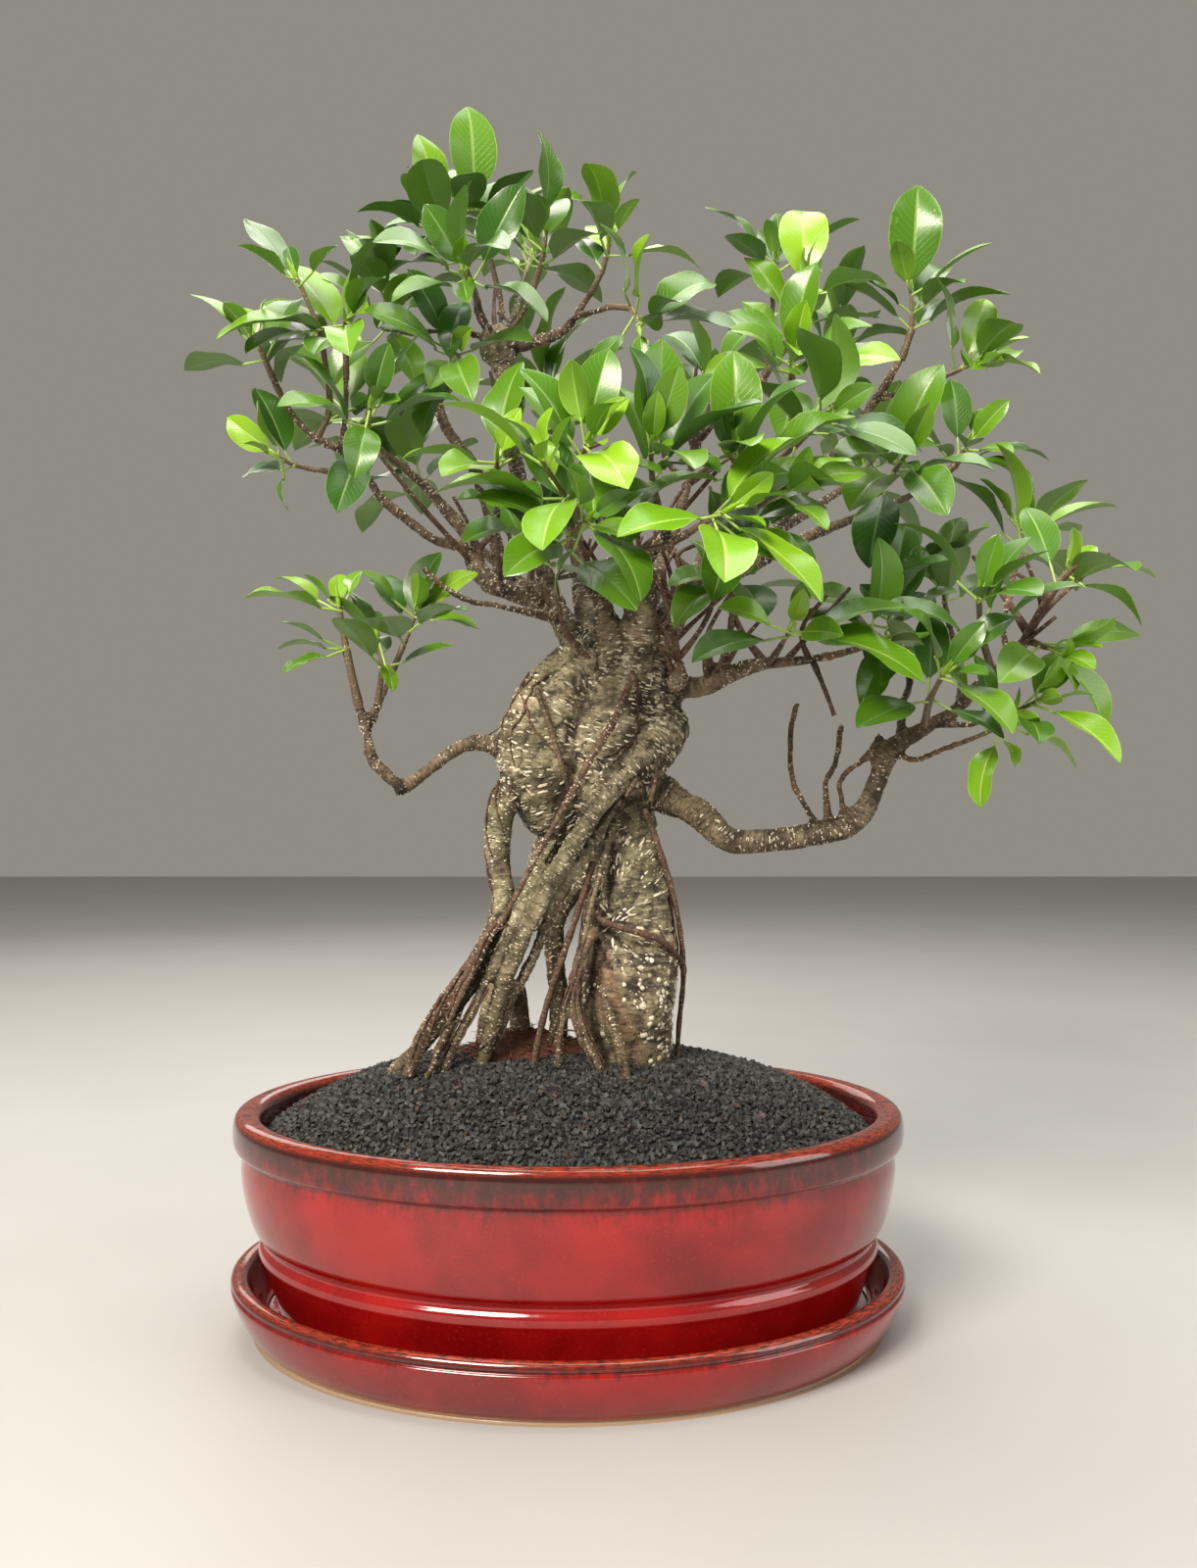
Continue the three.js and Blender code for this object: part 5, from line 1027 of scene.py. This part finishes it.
def corky_pore(hit, normal, way, radius, thick, on_right_leg, rng):
    """Points of one pore on the bark, in metres. It lies across its stem, or along a wrinkle."""
    across = way.cross(normal).normalized()
    along = normal.cross(across)
    if on_right_leg and (hit / MM - WRINKLED).length < FANNED_PORES_REACH:
        ray = hit / MM - WRINKLED
        across = (ray - normal * ray.dot(normal)).normalized()
        along = normal.cross(across)
    half_length = between(*PORE_HALF_LENGTHS, thick, rng)
    half_height = between(*PORE_HALF_HEIGHTS, thick, rng)
    if on_right_leg and hit.z < ROUND_PORES_BELOW * MM:
        half_length = rng.uniform(*ROUND_PORE_HALF)
        half_height = half_length * rng.uniform(0.6, 0.9)
    lean = rng.normal(0, PORE_LEAN)
    across, along = across + along * lean, along - across * lean
    placed = []
    for u, v, top in PORE_POINTS:
        sag = (u * half_length) ** 2 / (2 * max(radius, 2.0))
        lift = 0.36 * half_height + 0.26 if top else -0.35
        spot = across * (u * half_length) + along * (v * half_height) + normal * (lift - sag)
        placed.append(hit + spot * MM)
    return placed


def cork():
    look = Look("corky_pores")
    dust = look.clouds(look.place(), 700.0, 2.0)
    colour = look.mix(look.noted("paleness"), *CORK_PALES)
    colour = look.mix(dust * 0.3, colour, CORK_DUST)
    return look.surface(Base_Color=colour, Roughness=0.85, Normal=look.bump(dust, 0.0003, 0.6))


rng = np.random.default_rng(5)
points, faces, paleness = [], [], []
for stem in stems:
    if max(stem["radii"]) < THINNEST_WITH_PORES:
        continue
    run = np.linalg.norm(np.diff(stem["centres"], axis=0), axis=1)
    for k, length in enumerate(run):
        radius = stem["radii"][k]
        thick = (radius - LONG_PORES_FROM) / (LONGEST_PORES_FROM - LONG_PORES_FROM)
        thick = min(1.0, max(0.0, thick))
        area_each = PORE_AREA[0] * (1 - thick) + PORE_AREA[1] * thick
        way = Vector(stem["centres"][k + 1] - stem["centres"][k]).normalized()
        side = way.orthogonal().normalized()
        for _ in range(rng.poisson(2 * math.pi * radius * length / area_each)):
            share, angle = rng.random(), rng.uniform(0, 2 * math.pi)
            centre = Vector(stem["centres"][k] * (1 - share) + stem["centres"][k + 1] * share)
            out = side * math.cos(angle) + way.cross(side) * math.sin(angle)
            start = (centre + out * (radius + 5)) * MM
            hit, normal, _, _ = bark_shape.ray_cast(start, -out, (radius + 9) * MM)
            if hit is None or normal.dot(out) < 0.15 or noise.noise(hit * 55) < PORELESS_BELOW:
                continue
            if near_line(hit / MM, TAN_LINE, TAN_WIDTH) > 0.4 and rng.random() < 1 - PORES_ON_TAN:
                continue
            on_right_leg = stem["name"] == "right_leg"
            pore = corky_pore(hit, normal, way, radius, thick, on_right_leg, rng)
            join(points, faces, pore, PORE_FACES)
            paleness.extend([rng.random()] * len(PORE_POINTS))
add_piece("corky_pores", points, faces, cork(), noted={"paleness": paleness})

# The sprays
# Each spray is a young twig with glossy oval leaves on thin pale stalks, a pointed bud and two young leaves.
# The twig grows on from the end or the side of a limb, and each leaf stalk from a joint of the twig.
YOUNG_SPRAYS = {"left_rise": 0.5, "front_left": 0.75, "front_middle": 0.7, "front_tip": 0.9,
                "right_bright": 0.7, "right_mid_high": 0.5, "apex_far": 0.6, "low_a": 0.55, "right_end": 0.8,
                "right_end_low": 0.85, "right_under": 0.85, "right_hanging": 0.85, "front_low_left": 0.6,
                "right_peak": 0.45, "apex_top": 0.35, "left_under": 0.5, "low_c": 0.35, "left_end": 0.4,
                "mid_front": 0.5, "right_upper_side": 0.5, "front_far": 0.5, "right_tall": 0.45}
OTHER_SPRAYS_YOUTH = 0.18
AGE_SPREAD = 0.15
OUTLINE = [(0.0, 0.035), (0.04, 0.16), (0.10, 0.42), (0.18, 0.69), (0.28, 0.89), (0.40, 0.99), (0.52, 1.0),
           (0.64, 0.95), (0.74, 0.84), (0.83, 0.67), (0.90, 0.46), (0.95, 0.26), (0.98, 0.12), (1.0, 0.012)]
ACROSS = (-1.0, -0.86, -0.62, -0.34, -0.08, 0.0, 0.08, 0.34, 0.62, 0.86, 1.0)
BLADE_MIDDLE = ((5, 2), (5, 8), (5, 5), (7, 5))
PACKED_WIDTH = 0.8
BLADE_THICKNESS = 0.16
BLADE_CROWN = 0.10
MIDRIB_THICKNESS = 0.30
MIDRIB_GROOVE = 0.16
MIDRIB_WIDTH = 0.07
BLADE_WIDENING = (0.98, 1.10)
BLADE_WAVE = (0.0, 0.045)
BLADE_TWIST = 0.10
TIP_HOOK = (-0.02, 0.05)
STALK_RADII = (0.75, 0.58, 0.60, 0.35)
TWIG_START_INSIDE = 3.0
TWIG_KNOT = 0.16
BUD_LENGTH = 9.0
BUD_PROFILE = ((-0.05, 0.8), (0.12, 1.15), (0.35, 1.15), (0.62, 0.8), (0.85, 0.42), (1.0, 0.05))
BUD_LEAF_LENGTH = (13.0, 24.0)


def middle_of(places, corners):
    return sum((places[corner] for corner in corners), Vector()) / len(corners)


def joined_corners(mesh):
    """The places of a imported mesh's corners, in mm, and for each corner the ones that edges join it to."""
    corners, order, joined = {}, [], {}
    for vertex in mesh.vertices:
        order.append(corners.setdefault(tuple(round(c, 7) for c in vertex.co), len(corners)))
    for polygon in mesh.polygons:
        loop = [order[v] for v in polygon.vertices]
        for k, corner in enumerate(loop):
            joined.setdefault(corner, set()).update((loop[k - 1], loop[(k + 1) % len(loop)]))
    return [Vector(key) / MM for key in corners], joined


def spray_parts(node):
    """The twig's rings, the bud's tip and the leaves of a packed spray, read from how its corners join."""
    places, joined = joined_corners(node.data)
    fours = {corner for corner, others in joined.items() if len(others) == 4}
    leaves, used = [], set()
    for tip in sorted(fours):
        edges = sorted(joined[tip] & fours)
        if len(edges) != 2 or edges[0] in joined[edges[1]]:
            continue
        middles = joined[tip] - set(edges)
        shoulders = [min(joined[edge] - middles - {tip}) for edge in edges]
        blade = {tip, *edges, *middles, *shoulders}
        inner = {middle: min(joined[middle] - blade) for middle in middles}
        necks = {middle: joined[inner[middle]] - blade for middle in middles}
        upper, under = sorted(middles, key=lambda middle: -len(necks[middle]))
        own = blade | set(inner.values()) | necks[upper] | necks[under]
        foot = set().union(*(joined[n] for n in necks[upper] | necks[under])) - own
        used |= own
        leaves.append({"tip": places[tip], "neck": middle_of(places, necks[upper]), "foot": foot,
                       "upper": places[upper], "under": places[under], "edges": [places[e] for e in edges]})
    twig = set(joined) - used
    bud = min(corner for corner in twig if len(joined[corner]) == 3)
    rings, seen = [], {bud}
    layer = joined[bud] & twig
    while layer:
        rings.append(layer)
        seen |= layer
        layer = {other for corner in layer for other in joined[corner] & twig} - seen
    depth = {corner: k for k, ring in enumerate(rings) for corner in ring}
    for leaf in leaves:
        leaf["depth"] = min(depth[corner] for corner in leaf["foot"])
        leaf["foot"] = middle_of(places, leaf["foot"])
    rings = [[places[corner] for corner in ring] for ring in reversed(rings)]
    return rings, places[bud], leaves


def blade_points(leaf, rng):
    """Points of one blade's two sheets, with how far along and across each is."""
    length = (leaf["tip"] - leaf["neck"]).length
    way = (leaf["tip"] - leaf["neck"]) / length
    facing = (leaf["upper"] - leaf["under"]).normalized()
    side = (leaf["edges"][1] - leaf["edges"][0]).normalized()
    wide = (leaf["edges"][1] - leaf["edges"][0]).length / 2
    arch = (leaf["upper"] - leaf["neck"] - way * 0.7 * length).dot(facing) / 0.84
    fold = ((leaf["edges"][0] + leaf["edges"][1]) / 2 - leaf["upper"]).dot(facing) / wide
    half = wide / PACKED_WIDTH * rng.uniform(*BLADE_WIDENING)
    wave, phase = rng.uniform(*BLADE_WAVE), rng.uniform(0, 6)
    twist, hook = rng.normal(0, BLADE_TWIST), rng.uniform(*TIP_HOOK)
    made = []
    for under in (0, 1):
        for share, width in OUTLINE:
            for across in ACROSS:
                reach = half * width
                thinning = 1 - abs(across) ** 6
                midrib = math.exp(-(across / MIDRIB_WIDTH) ** 2)
                lift = arch * 4 * share * (1 - share) + fold * reach * abs(across) ** 1.25
                lift += length * wave * math.sin(share * 9 + phase + across) * across * across * width
                lift += twist * reach * across * share - hook * length * share**4
                if under:
                    lift -= (BLADE_THICKNESS + MIDRIB_THICKNESS * midrib * (1 - share)) * thinning
                else:
                    lift += BLADE_CROWN * thinning - MIDRIB_GROOVE * midrib
                place = leaf["neck"] + way * (length * share) + facing * lift + side * (reach * across)
                made.append((place, share, across, under))
    return made


def blade_faces(points, leaf):
    """The faces of both sheets of a blade, each turned outwards."""
    columns = len(ACROSS)
    quads = []
    for under in (0, 1):
        for row in range(len(OUTLINE) - 1):
            for column in range(columns - 1):
                a = (under * len(OUTLINE) + row) * columns + column
                quad = (a, a + 1, a + 1 + columns, a + columns)
                quads.append(tuple(reversed(quad)) if under else quad)
    left, right, base, tip = (points[row * columns + column] for row, column in BLADE_MIDDLE)
    if (left - right).cross(tip - base).dot(leaf["upper"] - leaf["under"]) > 0:
        quads = [tuple(reversed(quad)) for quad in quads]
    return quads


def bud_leaf(stem_end, way, side, length):
    """A young leaf that has just opened beside the bud, given the way that a full leaf is."""
    across = way.cross(side).normalized()
    blade_way = (way * 0.80 + side * 0.60).normalized()
    facing = blade_way.cross(across).normalized()
    neck = stem_end + (way * 0.5 + side * 0.9).normalized() * length * 0.22
    upper = neck + blade_way * length * 0.7 + facing * length * 0.05
    wide = length * 0.20
    fold = facing * wide * 0.35
    middle = neck + blade_way * length * 0.5 + facing * length * 0.05 + fold
    return {"tip": neck + blade_way * length, "neck": neck, "foot": stem_end, "upper": upper,
            "under": upper - facing * 1.2, "edges": [middle - across * wide, middle + across * wide],
            "depth": 0}


class Spray:
    """The points, faces and noted numbers of a spray as its parts are added."""

    def __init__(self):
        self.points, self.faces = [], []
        self.noted = {"along": [], "across": [], "under": [], "age": [], "hue": [], "woody": []}

    def add(self, points, faces, **values):
        join(self.points, self.faces, points, faces)
        for key, numbers in self.noted.items():
            value = values.get(key, 0.0)
            numbers.extend(value if isinstance(value, list) else [value] * len(points))

    def add_twig(self, rings, rng):
        """Adds the twig, which starts inside its limb. Returns the middle of its end."""
        centres = [sum(ring, Vector()) / 3 for ring in rings]
        radii = [(ring[0] - centre).length for ring, centre in zip(rings, centres)]
        heading = (centres[1] - centres[0]).normalized()
        centres.insert(0, centres[0] - heading * TWIG_START_INSIDE)
        radii.insert(0, radii[0])
        rows = curve_through([(*c, r) for c, r in zip(centres, radii)], 3)
        knots = [1 + TWIG_KNOT * (k % 3 == 0) for k in range(len(rows))]
        points, faces = round_bar(rows[:, :3] * MM, rows[:, 3] * knots * MM * 0.95, 8)
        share = [k / (len(rows) - 1) for k in range(len(rows)) for _ in range(8)]
        self.add(points, faces, woody=[1.0 - 0.5 * s for s in share], along=share, hue=rng.random())
        return centres[-1]

    def add_bud(self, start, way):
        centres = [(start + way * BUD_LENGTH * share) * MM for share, _ in BUD_PROFILE]
        points, faces = round_bar(centres, [radius * MM for _, radius in BUD_PROFILE], 8)
        self.add(points, faces, age=1.0, hue=0.9, woody=0.25)

    def add_leaf(self, leaf, age, rng):
        neck_way = (leaf["neck"] - leaf["foot"]).normalized()
        blade_way = (leaf["tip"] - leaf["neck"]).normalized()
        route = [leaf["foot"] - neck_way * 0.9, leaf["foot"].lerp(leaf["neck"], 0.4) - blade_way * 0.6,
                 leaf["neck"] - blade_way * 1.2, leaf["neck"] + blade_way * 2.0]
        rows = curve_through([(*p, r) for p, r in zip(route, STALK_RADII)], 3)
        points, faces = round_bar(rows[:, :3] * MM, rows[:, 3] * MM, 6)
        self.add(points, faces, age=0.55 + 0.45 * age, hue=0.75, along=0.5, under=1.0)
        places, shares, across, under = (list(column) for column in zip(*blade_points(leaf, rng)))
        self.add([place * MM for place in places], blade_faces(places, leaf), age=age, hue=rng.random(),
                 along=shares, across=across, under=[float(side) for side in under])


def grown_spray(name, node, rng):
    """One spray: its twig with the bud, the leaf stalks and the blades."""
    rings, bud, leaves = spray_parts(node)
    spray = Spray()
    twig_end = spray.add_twig(rings, rng)
    way = (bud - twig_end).normalized()
    spray.add_bud(twig_end, way)
    youth = YOUNG_SPRAYS.get(name, OTHER_SPRAYS_YOUTH)
    deepest = max(leaf["depth"] for leaf in leaves)
    side = way.orthogonal().normalized()
    for turn in (rng.uniform(0, 2), rng.uniform(2.6, 3.8)):
        outward = side * math.cos(turn) + way.cross(side) * math.sin(turn)
        leaves.append(bud_leaf(twig_end, way, outward, rng.uniform(*BUD_LEAF_LENGTH)))
    for leaf in leaves:
        near_end = 1 - leaf["depth"] / max(1, deepest)
        age = min(1.0, max(0.0, youth * (0.35 + 0.9 * near_end) + rng.normal(0, AGE_SPREAD)))
        spray.add_leaf(leaf, age, rng)
    return spray


# The leaves' colours, where an age of 0 is an old leaf and 1 a new one
OLD_GREENS = (0.018, 0.076, 0.005), (0.098, 0.232, 0.006)
OLD_CLOUD = (0.030, 0.110, 0.007)
NEW_GREENS = (0.105, 0.285, 0.006), (0.240, 0.440, 0.010)
UNDERSIDE_GREEN = (0.170, 0.310, 0.045)
VEIN_PALES = (0.115, 0.215, 0.060), (0.400, 0.560, 0.110)
VEIN_PAIRS = 13.0
VEIN_SLANT = 3.4
TWIG_BROWNS = (0.105, 0.060, 0.034), (0.130, 0.105, 0.040)
TWIG_SPECK = (0.42, 0.35, 0.24)


def fig_leaf():
    """Glossy green leaf with a pale midrib, veins and margin, and the brown twig that bears it."""
    look = Look("fig_leaf")
    place = look.place()
    along, across, under = look.noted("along"), look.noted("across"), look.noted("under")
    age, hue, woody = look.noted("age"), look.noted("hue"), look.noted("woody")
    out = look.node("ShaderNodeMath", {"operation": "ABSOLUTE"}, {0: across})
    cloud = look.clouds(place, 90.0, 3.0)
    old = look.mix(cloud * 0.5, look.mix(hue, *OLD_GREENS), OLD_CLOUD)
    colour = look.mix(look.rise(age, 0.05, 0.95), old, look.mix(hue, *NEW_GREENS))
    colour = look.mix(under * 0.35, colour, UNDERSIDE_GREEN)
    turns = (along * VEIN_PAIRS - out * VEIN_SLANT) * 6.2832
    ribs = look.node("ShaderNodeMath", {"operation": "SINE"}, {0: turns})
    side_veins = look.rise(ribs, 0.90, 1.0) * (1.0 - look.rise(out, 0.80, 0.95))
    midrib = 1.0 - look.rise(out, 0.025, 0.085)
    margin = look.rise(out, 0.945, 0.985)
    blade = 1.0 - look.rise(woody, 0.0, 0.1)
    pale_share = (midrib * 0.85 + side_veins * 0.22 + margin * 0.8) * blade
    colour = look.mix(pale_share, colour, look.mix(age, *VEIN_PALES))
    specks = 1.0 - look.rise(look.cells(place, 900.0), 0.16, 0.28)
    twig = look.mix(specks * 0.8, look.mix(along, *TWIG_BROWNS), TWIG_SPECK)
    on_twig = look.rise(woody, 0.30, 0.55)
    colour = look.mix(on_twig, colour, twig)
    height = side_veins * -0.5 + cloud * 0.5 + midrib * -0.6
    rough = 0.24 + 0.10 * cloud + 0.14 * under + 0.25 * on_twig
    return look.surface(Base_Color=colour, Roughness=rough, Normal=look.bump(height, 0.0002, 0.35),
                        IOR=1.46, Coat_Weight=0.12, Coat_Roughness=0.12)


leaf_green = fig_leaf()
for number, (name, node) in enumerate(sorted(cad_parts.items())):
    if name.startswith("spray_"):
        short_name = name.removeprefix("spray_")
        spray = grown_spray(short_name, node, np.random.default_rng(300 + number))
        add_piece("leafy_" + short_name, spray.points, spray.faces, leaf_green, [name], spray.noted)

# The table top, the light and the camera
# A plain pale surface under soft light from large lamps above, in front, behind and to the right.
# The camera stands 562 mm in front of the trunk at the height of its middle.
TABLE_GREYS = (0.37, 0.365, 0.36), (0.43, 0.425, 0.42)
TABLE_HALF = 4.0
ROOM_COLOUR = (0.93, 0.88, 0.77, 1)
ROOM_STRENGTH = 0.30


def pale_table():
    look = Look("pale_table")
    grain = look.clouds(look.place(), 5.0, 3.0)
    return look.surface(Base_Color=look.mix(grain, *TABLE_GREYS), Roughness=0.55)


mesh = bpy.data.meshes.new("table_top")
table_corners = [(x * TABLE_HALF, y * TABLE_HALF, 0) for x, y in ((-1, -1), (1, -1), (1, 1), (-1, 1))]
mesh.from_pydata(table_corners, [], [(0, 1, 2, 3)])
mesh.materials.append(pale_table())
floor = bpy.data.objects.new("table_top", mesh)
bpy.context.scene.collection.objects.link(floor)


def soft_lamp(name, place, target_z, size, power, colour):
    """A soft box that looks at a height of the trunk's axis, in metres and watts."""
    lamp = bpy.data.lights.new(name, "AREA")
    lamp.shape = "RECTANGLE"
    lamp.size, lamp.size_y = size
    lamp.energy = power
    lamp.color = colour
    made = bpy.data.objects.new(name, lamp)
    made.location = place
    made.rotation_euler = (Vector((0, 0, target_z)) - Vector(place)).to_track_quat("-Z", "Y").to_euler()
    bpy.context.scene.collection.objects.link(made)


soft_lamp("front_lamp", (-0.75, -1.25, 1.35), 0.25, size=(0.8, 0.6), power=60, colour=(1.0, 0.93, 0.81))
soft_lamp("right_lamp", (1.5, -0.7, 0.9), 0.25, size=(0.9, 1.2), power=12, colour=(0.97, 0.97, 0.95))
soft_lamp("top_lamp", (0.1, 0.15, 1.7), 0.3, size=(1.6, 1.2), power=30, colour=(1.0, 0.97, 0.90))
soft_lamp("back_lamp", (-0.6, 1.5, 1.1), 0.35, size=(1.4, 0.8), power=7, colour=(1.0, 0.97, 0.92))
world = bpy.data.worlds.new("soft_room")
world.use_nodes = True
world.node_tree.nodes["Background"].inputs["Color"].default_value = ROOM_COLOUR
world.node_tree.nodes["Background"].inputs["Strength"].default_value = ROOM_STRENGTH
bpy.context.scene.world = world
bpy.context.scene.view_settings.view_transform = "Standard"

IMAGE_HEIGHT = 1600
FOCAL_PIXELS = 1250
HORIZON_PIXELS = 832
CAMERA_PLACE = (0.0134, -0.562, 0.228)
camera = bpy.data.cameras.new("photo_camera")
camera.sensor_fit = "VERTICAL"
camera.sensor_height = 36
camera.lens = FOCAL_PIXELS / IMAGE_HEIGHT * camera.sensor_height
camera.shift_y = (HORIZON_PIXELS - IMAGE_HEIGHT / 2) / IMAGE_HEIGHT
camera.clip_start = 0.01
camera_object = bpy.data.objects.new("photo_camera", camera)
camera_object.location = CAMERA_PLACE
camera_object.rotation_euler = (math.pi / 2, 0, 0)
bpy.context.scene.collection.objects.link(camera_object)
bpy.context.scene.camera = camera_object
